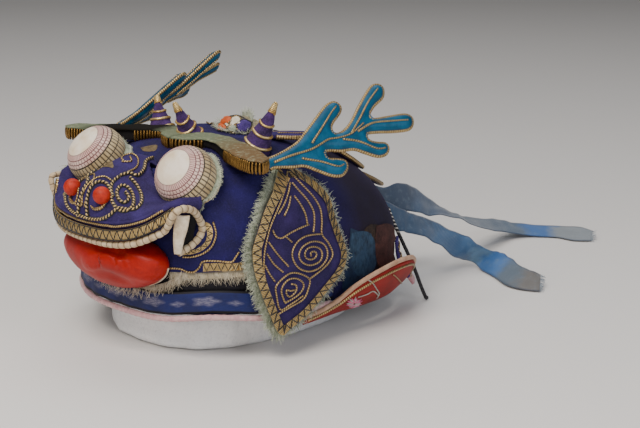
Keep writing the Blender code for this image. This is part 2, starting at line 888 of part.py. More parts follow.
def make_back_tab(name, material, others):
    def where(u, v):
        bearing = table_value(BACK_TAB, v, 1)
        z = table_value(BACK_TAB, v, 2)
        off = table_value(BACK_TAB, v, 3)
        angle = math.radians(bearing + (u - 0.5) * BACK_TAB_WIDTH)
        point = crown_point(angle, CROWN_SHOULDER - 1.0, off)
        point.z = z
        return point
    item = cloth_patch(name, 3, 6, where, 1.8, material, -1.0)
    return fit_around(item, others)


# Mane leaves: name, foot x, y, height over the dome, turn outward, fall, length, width
MANE = [
    ("mane_leaf_1", 0.0, 52.0, 1.1, 0.0, 28.3, 47.0, 15.0),
    ("mane_leaf_2", 1.0, 77.0, 2.4, 0.0, 25.5, 39.0, 16.0),
    ("mane_leaf_3", 2.0, 83.5, 2.4, 0.0, 23.7, 38.0, 16.0),
    ("mane_leaf_4", 24.0, 44.0, 1.9, -12.0, 33.0, 28.0, 15.0),
    ("mane_leaf_5", -24.0, 44.0, 1.9, 12.0, 33.0, 28.0, 15.0),
    ("mane_leaf_6", 26.0, 2.0, 1.8, -24.0, 4.0, 30.0, 13.0),
]
LEAF_THICKNESS = 2.4


def leaf_outline(length, width):
    half = [(-6.0, 0.24), (0.0, 0.34), (0.18, 0.46), (0.36, 0.5), (0.58, 0.42), (0.8, 0.24), (0.95, 0.08)]
    near = [(share * length if share > 0 else share, width * wide) for share, wide in half]
    return [(x, -y) for x, y in near] + [(length, 0.0)] + [(x, y) for x, y in reversed(near)]


def make_mane(material, crown_block, others):
    made = []
    for name, x, y, lift, turn, fall, length, width in MANE:
        turn_angle = math.radians(turn)
        fall_angle = math.radians(fall)
        along = Vector((-math.sin(turn_angle) * math.cos(fall_angle),
                        math.cos(turn_angle) * math.cos(fall_angle), -math.sin(fall_angle)))
        side = Vector((math.cos(turn_angle), math.sin(turn_angle), 0.0))
        frame = frame_at((x, y, crown_height(x, y) + lift), along, side.cross(along))
        item = flat_plate(name, leaf_outline(length, width), LEAF_THICKNESS, frame, material)
        item = combine(item, crown_block)
        item = fit_around(item, others + made)
        made.append(item)
    return made


ORNAMENT_CENTRE = (2.0, 4.0, 100.0)
ORNAMENT_SIZE = (15.0, 11.0, 7.0)


def make_ornament(material, crown_block, others):
    shape = bmesh.new()
    bmesh.ops.create_uvsphere(shape, u_segments=14, v_segments=8, radius=1.0)
    for vert in shape.verts:
        vert.co = Vector([centre + size * part for centre, size, part in
                          zip(ORNAMENT_CENTRE, ORNAMENT_SIZE, vert.co)]) * MM
    item = place("crown_ornament", mesh_from(shape, "crown_ornament"), material)
    item = combine(item, crown_block)
    item = fit_around(item, others)
    return smooth_rounds(item, 50.0)


# Ribbons that leave the nape and end on the table: far edge x, y, z, then near edge x, y, z
RIBBON_WALL = 1.0
RIBBON_LONG = [
    (17.0, 83.0, 60.0, 19.0, 83.0, 47.0),
    (18.0, 95.0, 55.0, 20.0, 93.0, 40.0),
    (19.0, 107.8, 55.7, 23.0, 105.1, 40.7),
    (18.5, 120.5, 50.4, 26.5, 111.5, 39.4),
    (18.0, 133.5, 41.2, 28.0, 121.5, 36.2),
    (16.0, 148.5, 33.0, 27.5, 136.0, 33.0),
    (13.0, 163.0, 25.8, 25.0, 152.0, 27.5),
    (8.5, 178.0, 20.5, 21.5, 169.5, 20.0),
    (4.4, 197.3, 15.0, 17.2, 189.0, 12.0),
    (1.4, 216.3, 10.0, 14.4, 209.3, 6.0),
    (3.5, 229.3, 6.0, 16.3, 221.5, 2.5),
    (10.7, 240.2, 4.0, 22.0, 229.6, 1.0),
    (22.5, 250.0, 3.5, 31.5, 236.5, 0.9),
    (36.3, 252.8, 5.0, 43.0, 238.3, 0.9),
    (46.0, 253.3, 4.5, 50.5, 245.0, 0.9),
]
RIBBON_SHORT = [
    (29.0, 80.0, 54.0, 33.0, 79.0, 40.0),
    (30.0, 95.0, 45.5, 34.5, 89.5, 35.0),
    (30.0, 105.7, 40.5, 36.5, 95.5, 32.5),
    (30.0, 119.2, 34.5, 38.0, 108.5, 27.5),
    (31.5, 134.5, 26.4, 38.0, 121.8, 19.8),
    (35.0, 147.0, 20.0, 34.5, 138.0, 9.0),
    (43.0, 149.5, 15.5, 32.0, 151.0, 4.5),
    (47.0, 155.7, 12.0, 34.5, 155.4, 2.0),
    (53.0, 158.7, 11.0, 44.1, 150.5, 0.9),
    (60.0, 159.0, 8.5, 57.4, 145.4, 0.9),
    (73.0, 152.5, 8.0, 72.0, 138.0, 0.9),
    (80.8, 151.8, 7.5, 83.5, 137.8, 0.9),
    (83.5, 154.5, 6.0, 92.5, 142.2, 0.9),
]


def make_ribbon(name, table, count, material, crown_block, others):
    far = [Vector(row[:3]) for row in table]
    near = [Vector(row[3:]) for row in table]
    last = len(table) - 1

    def where(u, v):
        return spline_point(far, last * u).lerp(spline_point(near, last * u), v)
    item = cloth_patch(name, count, 1, where, RIBBON_WALL, material, 0.0)
    item = combine(item, crown_block)
    return fit_around(item, others)


TIE_CORD_DIAMETER = 2.0
TIE_CORD = [
    (33.9, 81.6, 49.0),
    (39.2, 81.2, 41.0),
    (43.8, 82.6, 32.0),
    (50.0, 85.0, 19.0),
    (54.5, 86.5, 8.0),
    (57.0, 88.0, 1.3),
]


def make_foam_stand(material, inside_block):
    def block(width, front, back, low, high, name):
        shape = bmesh.new()
        bmesh.ops.create_cone(shape, cap_ends=True, segments=24, radius1=1.0, radius2=1.0, depth=1.0)
        for vert in shape.verts:
            angle = math.atan2(vert.co.y, vert.co.x)
            depth = back if math.sin(angle) > 0 else front
            reach = ((abs(math.cos(angle)) / width) ** 2.6 + (abs(math.sin(angle)) / depth) ** 2.6) ** (-1 / 2.6)
            z = low if vert.co.z < 0 else high
            vert.co = Vector((reach * math.cos(angle), reach * math.sin(angle), z)) * MM
        item = place(name, mesh_from(shape, name), material)
        soften = item.modifiers.new("soft_edges", "BEVEL")
        soften.width = 4.0 * MM
        soften.segments = 2
        soften.limit_method = "ANGLE"
        soften.angle_limit = math.radians(60.0)
        return settle(item)
    base = block(FOAM_HALF_WIDTH, FOAM_FRONT, FOAM_BACK, 0.0, FOAM_HEIGHT, "foam_stand")
    core = block(FOAM_CORE_HALF_WIDTH, FOAM_CORE_HALF_LENGTH, FOAM_CORE_HALF_LENGTH,
                 FOAM_HEIGHT - 10.0, CROWN_TOP + 10.0, "foam_core")
    core = combine(core, inside_block, "INTERSECT")
    core_cutter = as_cutter(core.data.copy(), "foam_core_shape")
    bpy.data.objects.remove(core, do_unlink=True)
    return smooth_rounds(combine(base, core_cutter, "UNION"), 40.0)


def main():
    clear_scene()
    violet = (0.055, 0.028, 0.16)
    indigo = (0.035, 0.022, 0.22)
    gold = (0.42, 0.30, 0.10)
    red = (0.55, 0.035, 0.015)
    ivory = (0.72, 0.62, 0.47)
    blue = (0.012, 0.17, 0.36)
    felt = (0.42, 0.47, 0.36)

    def paint(name, colour, roughness=0.7, metallic=0.0):
        return surface(name + "_cloth", colour, roughness, metallic)

    crown_block = as_cutter(mesh_from(dome_shape(GAP, -5.0), "crown_block"), "crown_block")
    inside = -CROWN_WALL - GAP - 0.6
    inside_block = as_cutter(mesh_from(dome_shape(inside, -5.0), "inside_block"), "inside_block")

    crown = make_crown(paint("crown", violet, 0.8))
    head_band = make_head_band(paint("head_band", (0.03, 0.07, 0.30), 0.5))
    band_piping = make_band_piping(paint("band_piping", (0.55, 0.30, 0.32)))
    face = make_face_cloth(paint("face", indigo, 0.75))
    lip_strip = make_lip_strip(paint("lip_strip", gold, 0.4, 0.5))
    lip_cord = make_lip_cord(paint("lip_cord", ivory), [lip_strip, face])
    muzzle = make_muzzle(paint("muzzle", violet, 0.6), crown_block, [face, lip_strip])
    pouch_neighbours = [face, head_band, muzzle, lip_strip, lip_cord]
    pouch = make_mouth_pouch(paint("mouth_pouch", red, 0.4), crown_block, pouch_neighbours)
    mouth = both_sides([lip_cord, lip_strip, muzzle, pouch])
    fang = make_fang("fang_right", paint("fang_right", ivory, 0.5), mouth)
    mirrored(fang, "fang_left")
    eye = make_eye("eye_right", paint("eye_right", (0.75, 0.60, 0.48), 0.5), crown_block,
                   [face] + both_sides([muzzle]))
    eye_left = mirrored(eye, "eye_left")
    brow_paint = paint("brow", gold, 0.35, 0.6)
    brow = make_brow("brow_right", 1.0, BROW_FALL_RIGHT, brow_paint, crown_block, [eye, face, muzzle])
    brow_left = make_brow("brow_left", -1.0, BROW_FALL_LEFT, brow_paint, crown_block,
                          [eye_left, face, muzzle])
    nostril = make_nostril("nostril_right", paint("nostril_right", red, 0.4), muzzle)
    mirrored(nostril, "nostril_left")
    fit_around(muzzle, [lip_cord])
    brows = [brow, brow_left]
    horns = make_horns(paint("horn", violet, 0.6), crown_block, brows)
    make_ornament(paint("crown_ornament", (0.70, 0.55, 0.38)), crown_block, brows + horns)
    antlers = make_antlers(paint("antler", blue, 0.4), brows + horns + [face])
    ear_fringe = make_ear_fringe("ear_fringe_right", paint("ear_fringe", felt, 0.9))
    ear_fringe_left = mirrored(ear_fringe, "ear_fringe_left")
    ear = make_ear("ear_right", paint("ear", violet, 0.6))
    ear_left = mirrored(ear, "ear_left")
    ear_fringe = fit_around(ear_fringe, [face, head_band, brow, antlers[0]])
    fit_around(ear_fringe_left, [face, head_band, brow_left, antlers[1]])
    fit_around(ear, [brow, antlers[0]])
    fit_around(ear_left, [brow_left, antlers[1]])
    face_fringe = paint("face_fringe", (0.55, 0.48, 0.33), 0.9)
    under = [face, head_band] + both_sides([pouch, lip_cord])
    fringe = make_face_fringe("face_fringe_right", -62.0, -33.0, face_fringe, under + [ear_fringe])
    mirrored(fringe, "face_fringe_left")
    band_pieces = both_sides([head_band, band_piping])
    flap = make_side_flap("side_flap_right", paint("side_flap_right", red, 0.45), band_pieces)
    mirrored(flap, "side_flap_left")
    piping = make_flap_piping("flap_piping_right", paint("flap_piping_right", (0.6, 0.42, 0.3)),
                              [flap] + band_pieces)
    mirrored(piping, "flap_piping_left")
    tab = make_back_tab("back_tab_right", paint("back_tab_right", (0.04, 0.04, 0.18)), [flap, piping, crown])
    mirrored(tab, "back_tab_left")
    mane = make_mane(paint("mane", (0.05, 0.02, 0.10), 0.6), crown_block, antlers + horns)
    sash = paint("ribbon", (0.05, 0.12, 0.22), 0.5)
    ribbon_long = make_ribbon("ribbon_long", RIBBON_LONG, 32, sash, crown_block, mane)
    make_ribbon("ribbon_short", RIBBON_SHORT, 26, sash, crown_block, mane + [ribbon_long])
    round_cord("tie_cord", TIE_CORD, TIE_CORD_DIAMETER, paint("tie_cord", (0.02, 0.02, 0.02)), 5.5)
    make_foam_stand(paint("foam_stand", (0.82, 0.82, 0.80), 0.95), inside_block)


main()
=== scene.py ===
import sys
import json
import math
import random

import bmesh
import bpy
from mathutils import Matrix, Vector, noise
from mathutils.bvhtree import BVHTree
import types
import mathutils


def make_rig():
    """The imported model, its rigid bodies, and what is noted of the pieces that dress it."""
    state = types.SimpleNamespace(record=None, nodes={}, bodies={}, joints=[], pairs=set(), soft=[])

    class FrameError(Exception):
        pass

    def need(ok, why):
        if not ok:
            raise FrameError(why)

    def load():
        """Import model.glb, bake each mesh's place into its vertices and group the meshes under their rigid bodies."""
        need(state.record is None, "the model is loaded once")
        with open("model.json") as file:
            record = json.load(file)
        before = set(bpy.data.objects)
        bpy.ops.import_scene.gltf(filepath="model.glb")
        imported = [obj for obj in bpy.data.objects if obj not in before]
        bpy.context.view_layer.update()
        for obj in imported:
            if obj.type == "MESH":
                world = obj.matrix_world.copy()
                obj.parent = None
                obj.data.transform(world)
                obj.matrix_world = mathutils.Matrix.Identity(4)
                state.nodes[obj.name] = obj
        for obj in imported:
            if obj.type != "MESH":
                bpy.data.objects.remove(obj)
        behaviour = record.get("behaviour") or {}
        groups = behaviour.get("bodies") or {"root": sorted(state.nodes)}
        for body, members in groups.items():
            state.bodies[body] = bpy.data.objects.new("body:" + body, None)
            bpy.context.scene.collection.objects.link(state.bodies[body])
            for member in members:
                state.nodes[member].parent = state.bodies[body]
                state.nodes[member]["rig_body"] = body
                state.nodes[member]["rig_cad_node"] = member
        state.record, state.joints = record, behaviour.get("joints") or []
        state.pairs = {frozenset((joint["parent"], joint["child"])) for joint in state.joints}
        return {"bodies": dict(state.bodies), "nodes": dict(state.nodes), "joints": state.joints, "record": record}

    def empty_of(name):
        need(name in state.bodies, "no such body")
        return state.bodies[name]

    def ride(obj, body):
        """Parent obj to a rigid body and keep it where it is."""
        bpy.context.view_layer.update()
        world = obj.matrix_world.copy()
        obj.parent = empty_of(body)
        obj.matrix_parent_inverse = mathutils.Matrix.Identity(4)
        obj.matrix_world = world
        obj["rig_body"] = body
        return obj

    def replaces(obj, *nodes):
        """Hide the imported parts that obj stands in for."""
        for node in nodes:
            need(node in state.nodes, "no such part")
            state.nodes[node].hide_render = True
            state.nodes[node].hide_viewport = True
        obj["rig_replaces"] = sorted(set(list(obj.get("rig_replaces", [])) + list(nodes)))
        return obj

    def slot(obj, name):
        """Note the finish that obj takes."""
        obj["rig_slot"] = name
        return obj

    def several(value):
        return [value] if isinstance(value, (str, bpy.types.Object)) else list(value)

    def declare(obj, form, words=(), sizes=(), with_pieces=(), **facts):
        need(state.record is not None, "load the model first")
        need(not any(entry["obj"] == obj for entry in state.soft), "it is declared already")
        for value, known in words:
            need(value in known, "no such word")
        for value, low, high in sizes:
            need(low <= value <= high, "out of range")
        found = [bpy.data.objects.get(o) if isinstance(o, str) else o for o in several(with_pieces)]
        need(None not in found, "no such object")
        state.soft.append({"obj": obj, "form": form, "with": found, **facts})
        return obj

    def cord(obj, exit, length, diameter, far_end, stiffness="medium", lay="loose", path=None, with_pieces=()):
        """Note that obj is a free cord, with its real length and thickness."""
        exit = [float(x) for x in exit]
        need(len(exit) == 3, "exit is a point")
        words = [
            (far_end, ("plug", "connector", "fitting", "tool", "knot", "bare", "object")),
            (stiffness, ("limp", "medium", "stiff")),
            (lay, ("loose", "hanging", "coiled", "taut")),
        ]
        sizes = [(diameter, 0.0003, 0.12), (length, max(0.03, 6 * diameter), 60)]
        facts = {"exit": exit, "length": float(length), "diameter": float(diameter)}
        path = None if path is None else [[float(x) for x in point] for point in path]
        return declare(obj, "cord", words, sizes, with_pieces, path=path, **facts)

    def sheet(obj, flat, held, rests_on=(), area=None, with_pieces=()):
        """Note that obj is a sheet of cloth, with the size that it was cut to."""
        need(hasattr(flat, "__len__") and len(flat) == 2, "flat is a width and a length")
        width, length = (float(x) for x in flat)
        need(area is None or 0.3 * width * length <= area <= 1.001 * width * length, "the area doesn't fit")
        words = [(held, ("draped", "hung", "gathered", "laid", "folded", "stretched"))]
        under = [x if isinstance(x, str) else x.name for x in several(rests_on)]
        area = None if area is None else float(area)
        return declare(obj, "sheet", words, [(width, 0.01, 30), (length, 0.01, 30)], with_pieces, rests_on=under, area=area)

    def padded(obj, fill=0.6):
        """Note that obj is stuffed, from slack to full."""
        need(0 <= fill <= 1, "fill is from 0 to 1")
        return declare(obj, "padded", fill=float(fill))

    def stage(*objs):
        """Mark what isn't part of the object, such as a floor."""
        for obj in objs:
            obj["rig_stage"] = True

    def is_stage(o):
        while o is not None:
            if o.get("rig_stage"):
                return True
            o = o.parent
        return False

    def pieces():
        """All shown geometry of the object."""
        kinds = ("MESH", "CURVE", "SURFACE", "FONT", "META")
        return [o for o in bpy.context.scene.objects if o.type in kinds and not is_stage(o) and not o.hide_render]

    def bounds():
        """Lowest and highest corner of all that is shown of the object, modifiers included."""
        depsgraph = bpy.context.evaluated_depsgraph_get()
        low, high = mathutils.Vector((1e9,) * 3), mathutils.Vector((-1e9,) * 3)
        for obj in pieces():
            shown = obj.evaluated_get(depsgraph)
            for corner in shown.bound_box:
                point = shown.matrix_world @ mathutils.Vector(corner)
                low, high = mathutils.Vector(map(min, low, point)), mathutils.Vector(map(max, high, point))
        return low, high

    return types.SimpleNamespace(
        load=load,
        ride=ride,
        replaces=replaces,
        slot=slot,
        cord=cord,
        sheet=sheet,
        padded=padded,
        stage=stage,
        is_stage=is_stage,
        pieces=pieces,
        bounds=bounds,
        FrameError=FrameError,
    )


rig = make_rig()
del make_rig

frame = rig.load()
CAD_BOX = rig.bounds()

# Looks of a child's padded qilin hat that rests on a plain foam stand.
# Lengths in the tables are millimetres and become metres when a piece is made.

bl_info = {
    "name": "Qilin Hat Looks",
    "version": (1, 0, 0),
    "blender": (4, 5, 0),
    "location": "View3D > Sidebar > Qilin Hat",
    "description": "Cloth, gilt cord, embroidery and frayed edges of a padded qilin hat",
    "category": "Add Mesh",
}

MM = 0.001
GAP = 0.35


def linear(code):
    """Linear colour of an sRGB hex value."""
    parts = [int(code[i:i + 2], 16) / 255 for i in (0, 2, 4)]
    return tuple(p / 12.92 if p <= 0.04045 else ((p + 0.055) / 1.055) ** 2.4 for p in parts)


# Sizes and colours that a user would change

def colour_property(name, description, code):
    return bpy.props.FloatVectorProperty(
        name=name, description=description, subtype="COLOR", size=3, min=0.0, max=1.0,
        default=linear(code))


def length_property(name, description, millimetres):
    return bpy.props.FloatProperty(
        name=name, description=description, subtype="DISTANCE", unit="LENGTH",
        default=millimetres * MM, min=0.00005, max=0.2, precision=5)


class HatSizes(bpy.types.PropertyGroup):
    gilt_cord: length_property("Gilt cord", "Diameter of the couched gilt cord", 1.0)
    chain_cord: length_property("Chain cord", "Diameter of the black and gold twisted cord", 1.5)
    stitch: length_property("Stitch", "Diameter of the black stitching thread", 0.5)
    piping: length_property("Ivory piping", "Diameter of the bound piping at the lip", 3.8)
    fray: length_property("Fray", "Length of the loose threads at torn edges", 4.2)
    fray_thread: length_property("Fray thread", "Diameter of one loose thread", 0.36)
    rib: length_property("Brow rib", "Width of one wrapped rib of the brows", 1.75)
    border: length_property("Ear border", "Width of the gold border round the ears", 2.9)


class HatColours(bpy.types.PropertyGroup):
    violet: colour_property("Violet", "Wool of the muzzle", "32265f")
    indigo: colour_property("Indigo", "Wool of the face and crown", "191150")
    aubergine: colour_property("Aubergine", "Cloth of the ears and horns", "2b1e50")
    gilt: colour_property("Gilt", "Gilt paper thread", "b8955a")
    red: colour_property("Red", "Satin of the mouth", "c62d1c")
    ivory: colour_property("Ivory", "Piping, fangs and eyes", "dccbb2")
    turquoise: colour_property("Turquoise", "Satin of the antlers", "0d5272")
    sage: colour_property("Sage", "Frayed lining cloth", "a3ab93")
    band: colour_property("Band blue", "Woven ribbon of the head band", "18235f")
    sash: colour_property("Sash blue", "Faded satin of the ribbons", "3a5f92")


def sizes():
    return bpy.context.scene.hat_sizes


def millimetres(name):
    return getattr(sizes(), name) / MM


# Materials

def add(tree, kind, inputs=(), out=0, **settings):
    """Add one node with its settings and links; give back one of its outputs, or the node for None.

    inputs goes by socket, or in the sockets' own order, and holds values and other nodes' outputs.
    """
    item = tree.nodes.new("ShaderNode" + kind)
    for name, value in settings.items():
        setattr(item, name, value)
    for place, value in (inputs if isinstance(inputs, dict) else dict(enumerate(inputs))).items():
        socket = item.inputs[place]
        if isinstance(value, bpy.types.NodeSocket):
            tree.links.new(value, socket)
        else:
            socket.default_value = rgba(value) if socket.type == "RGBA" else value
    return item if out is None else item.outputs[out]


def rgba(colour):
    return (*colour[:3], 1.0)


def hue(name):
    return tuple(getattr(bpy.context.scene.hat_colours, name))


def blank(name):
    material = bpy.data.materials.new(name)
    material.use_nodes = True
    tree = material.node_tree
    return material, tree, tree.nodes["Principled BSDF"]


def napped_cloth(name, base, dark, worn, grain=0.9, patch=9.0, roughness=0.85, sheen=0.35, wear=0.62):
    """Fulled wool or cotton: short nap that scatters light, dark in the dips and rubbed on the rises."""
    material, tree, shader = blank(name)
    place = add(tree, "TexCoord", out="Object")
    cloud = add(tree, "TexNoise", {"Vector": place, "Scale": 1.0 / (patch * MM), "Detail": 3.0,
        "Roughness": 0.55})
    nap = add(tree, "TexNoise", {"Vector": place, "Scale": 1.0 / (grain * MM), "Detail": 4.0,
        "Roughness": 0.7})
    colour = add(tree, "Mix", {0: add(tree, "MapRange", (cloud, 0.35, 0.7)), 6: dark, 7: base}, 2,
        data_type="RGBA")
    colour = add(tree, "Mix", {0: add(tree, "Math", (add(tree, "MapRange", (nap, 0.45, 0.95)), 0.5),
        operation="MULTIPLY"), 6: colour, 7: worn}, 2, data_type="RGBA")
    rubbed = add(tree, "Math", (add(tree, "MapRange", (add(tree, "TexNoise",
        {"Vector": place, "Scale": 1.0 / (patch * 0.6 * MM), "Detail": 5.0, "Roughness": 0.7}), wear,
        0.85)), 0.5), operation="MULTIPLY")
    colour = add(tree, "Mix", {0: rubbed, 6: colour, 7: worn}, 2, data_type="RGBA")
    tree.links.new(colour, shader.inputs["Base Color"])
    shader.inputs["Roughness"].default_value = roughness
    shader.inputs["Sheen Weight"].default_value = sheen
    shader.inputs["Sheen Roughness"].default_value = 0.45
    shader.inputs["Sheen Tint"].default_value = rgba(worn)
    shader.inputs["Specular IOR Level"].default_value = 0.3
    tree.links.new(add(tree, "Bump", {"Height": nap, "Distance": 0.28 * MM, "Strength": 0.75}),
        shader.inputs["Normal"])
    return material


def satin(name, base, dark, light, thread=0.5, patch=14.0, roughness=0.42, along="UV", sheen=0.25):
    """Satin weave: long floats that lie one way, so it shines in a band and shows faint lines."""
    material, tree, shader = blank(name)
    unit = MM if along == "Object" else 1.0
    place = add(tree, "TexCoord", out=along)
    body = add(tree, "TexCoord", out="Object")
    stretched = add(tree, "Mapping", {"Vector": place, "Scale": (0.12, 1.0, 0.35)})
    floats = add(tree, "TexNoise", {"Vector": stretched, "Scale": 1.0 / (thread * unit), "Detail": 3.0,
        "Roughness": 0.65})
    cloud = add(tree, "TexNoise", {"Vector": body, "Scale": 1.0 / (patch * MM), "Detail": 3.0,
        "Roughness": 0.55})
    colour = add(tree, "Mix", {0: add(tree, "MapRange", (cloud, 0.2, 0.6)), 6: dark, 7: base}, 2,
        data_type="RGBA")
    colour = add(tree, "Mix", {0: add(tree, "Math", (add(tree, "MapRange", (floats, 0.4, 0.8)), 0.3),
        operation="MULTIPLY"), 6: colour, 7: light}, 2, data_type="RGBA")
    tree.links.new(colour, shader.inputs["Base Color"])
    shader.inputs["Roughness"].default_value = roughness
    shader.inputs["Sheen Weight"].default_value = sheen
    shader.inputs["Sheen Roughness"].default_value = 0.3
    shader.inputs["Anisotropic"].default_value = 0.4
    shader.inputs["Specular IOR Level"].default_value = 0.25
    tree.links.new(add(tree, "Bump", {"Height": floats, "Distance": 0.12 * MM, "Strength": 0.6}),
        shader.inputs["Normal"])
    return material


def gilt(name, base, dark, light, pitch=1.1, roughness=0.34, metallic=0.75, slant=1.0):
    """Gilt paper wound round a silk core: a soft metal with a spiral of turns, a painted highlight on the crest of
    each turn, painted shade in the groove between turns, and worn brown spots.
    """
    material, tree, shader = blank(name)
    place = add(tree, "SeparateXYZ", {0: add(tree, "TexCoord", out="UV")}, out=None)
    turn = add(tree, "Math", (add(tree, "Math", (place.outputs[0], pitch), operation="DIVIDE"),
        add(tree, "Math", (place.outputs[1], slant), operation="MULTIPLY")), operation="ADD")
    wave = add(tree, "Math", (add(tree, "Math", (add(tree, "Math", (turn, math.pi), operation="MULTIPLY"),),
        operation="SINE"),), operation="ABSOLUTE")
    body = add(tree, "TexCoord", out="Object")
    cloud = add(tree, "TexNoise", {"Vector": body, "Scale": 1.0 / (2.6 * MM), "Detail": 4.0,
        "Roughness": 0.7})
    colour = add(tree, "Mix", {0: add(tree, "MapRange", (cloud, 0.36, 0.72)), 6: dark, 7: base}, 2,
        data_type="RGBA")
    # painted highlight: the light colour on the crest of each turn
    colour = add(tree, "Mix", {0: add(tree, "Math", (add(tree, "MapRange", (wave, 0.55, 1.0)), 0.5),
        operation="MULTIPLY"), 6: colour, 7: light}, 2, data_type="RGBA")
    # painted shade: the dark colour in the groove between turns
    colour = add(tree, "Mix", {0: add(tree, "Math", (add(tree, "MapRange", (wave, 0.35, 0.0)), 0.8),
        operation="MULTIPLY"), 6: colour, 7: dark}, 2, data_type="RGBA")
    tree.links.new(colour, shader.inputs["Base Color"])
    shader.inputs["Roughness"].default_value = roughness
    shader.inputs["Metallic"].default_value = metallic
    tree.links.new(add(tree, "Bump", {"Height": wave, "Distance": 0.18 * MM, "Strength": 0.8}),
        shader.inputs["Normal"])
    return material


def chain_gilt(name, pitch=1.9):
    """Gilt thread plied with black silk: slanting bars of gold between black ones."""
    material, tree, shader = blank(name)
    place = add(tree, "SeparateXYZ", {0: add(tree, "TexCoord", out="UV")}, out=None)
    turn = add(tree, "Math", (add(tree, "Math", (place.outputs[0], pitch), operation="DIVIDE"),
        place.outputs[1]), operation="ADD")
    wave = add(tree, "Math", (add(tree, "Math", (turn, 2.0 * math.pi), operation="MULTIPLY"),),
        operation="SINE")
    bars = add(tree, "MapRange", (wave, -0.15, 0.2))
    cloud = add(tree, "TexNoise", {"Vector": add(tree, "TexCoord", out="Object"), "Scale": 1.0 / (2.0 * MM),
        "Detail": 3.0, "Roughness": 0.55})
    gold = add(tree, "Mix", {0: cloud, 6: linear("9c7b40"), 7: linear("ecd39a")}, 2, data_type="RGBA")
    tree.links.new(add(tree, "Mix", {0: bars, 6: linear("120e10"), 7: gold}, 2, data_type="RGBA"),
        shader.inputs["Base Color"])
    tree.links.new(add(tree, "Math", (bars, 0.6), operation="MULTIPLY"), shader.inputs["Metallic"])
    shader.inputs["Roughness"].default_value = 0.42
    tree.links.new(add(tree, "Bump", {"Height": wave, "Distance": 0.3 * MM, "Strength": 0.8}),
        shader.inputs["Normal"])
    return material


def plain_thread(name, base, light, spot=1.2, roughness=0.7, sheen=0.3):
    """Loose cotton or silk thread: a little uneven in colour from end to end."""
    material, tree, shader = blank(name)
    cloud = add(tree, "TexNoise", {"Vector": add(tree, "TexCoord", out="Object"),
        "Scale": 1.0 / (spot * MM), "Detail": 4.0, "Roughness": 0.7})
    tree.links.new(add(tree, "Mix", {0: add(tree, "MapRange", (cloud, 0.35, 0.7)), 6: base, 7: light}, 2,
        data_type="RGBA"), shader.inputs["Base Color"])
    shader.inputs["Roughness"].default_value = roughness
    shader.inputs["Sheen Weight"].default_value = sheen
    shader.inputs["Specular IOR Level"].default_value = 0.3
    tree.links.new(add(tree, "Bump", {"Height": cloud, "Distance": 0.1 * MM, "Strength": 0.5}),
        shader.inputs["Normal"])
    return material


# Curves and tables

def spline_point(points, position):
    last = len(points) - 1
    index = min(int(position), last - 1)
    t = position - index
    p0 = Vector(points[max(index - 1, 0)])
    p1 = Vector(points[index])
    p2 = Vector(points[index + 1])
    p3 = Vector(points[min(index + 2, last)])
    return 0.5 * (2 * p1 + (p2 - p0) * t + (2 * p0 - 5 * p1 + 4 * p2 - p3) * t ** 2
                  + (3 * p1 - p0 - 3 * p2 + p3) * t ** 3)


def spline_path(points, step):
    """The smooth curve through the points, with one point for each step of its length."""
    if len(points) < 3:
        fine = [Vector(points[0]).lerp(Vector(points[-1]), i / 24) for i in range(25)]
    else:
        fine = [spline_point(points, i / 16) for i in range(16 * (len(points) - 1) + 1)]
    lengths = [0.0]
    for before, after in zip(fine, fine[1:]):
        lengths.append(lengths[-1] + (after - before).length)
    count = max(2, round(lengths[-1] / step))
    path = []
    cursor = 0
    for i in range(count + 1):
        wanted = lengths[-1] * i / count
        while cursor < len(fine) - 2 and lengths[cursor + 1] < wanted:
            cursor += 1
        span = lengths[cursor + 1] - lengths[cursor]
        share = (wanted - lengths[cursor]) / span if span else 0.0
        path.append(fine[cursor].lerp(fine[cursor + 1], min(1.0, share)))
    return path


def table_value(rows, key, column):
    first, last = rows[0][0], rows[-1][0]
    sign = 1.0 if last > first else -1.0
    key = sign * min(max(sign * key, sign * first), sign * last)
    index = 0
    while index < len(rows) - 2 and sign * rows[index + 1][0] < sign * key:
        index += 1
    t = (key - rows[index][0]) / (rows[index + 1][0] - rows[index][0])
    v = [rows[min(max(index + k, 0), len(rows) - 1)][column] for k in (-1, 0, 1, 2)]
    return 0.5 * (2 * v[1] + (v[2] - v[0]) * t + (2 * v[0] - 5 * v[1] + 4 * v[2] - v[3]) * t ** 2
                  + (3 * v[1] - v[0] - 3 * v[2] + v[3]) * t ** 3)


# Making pieces

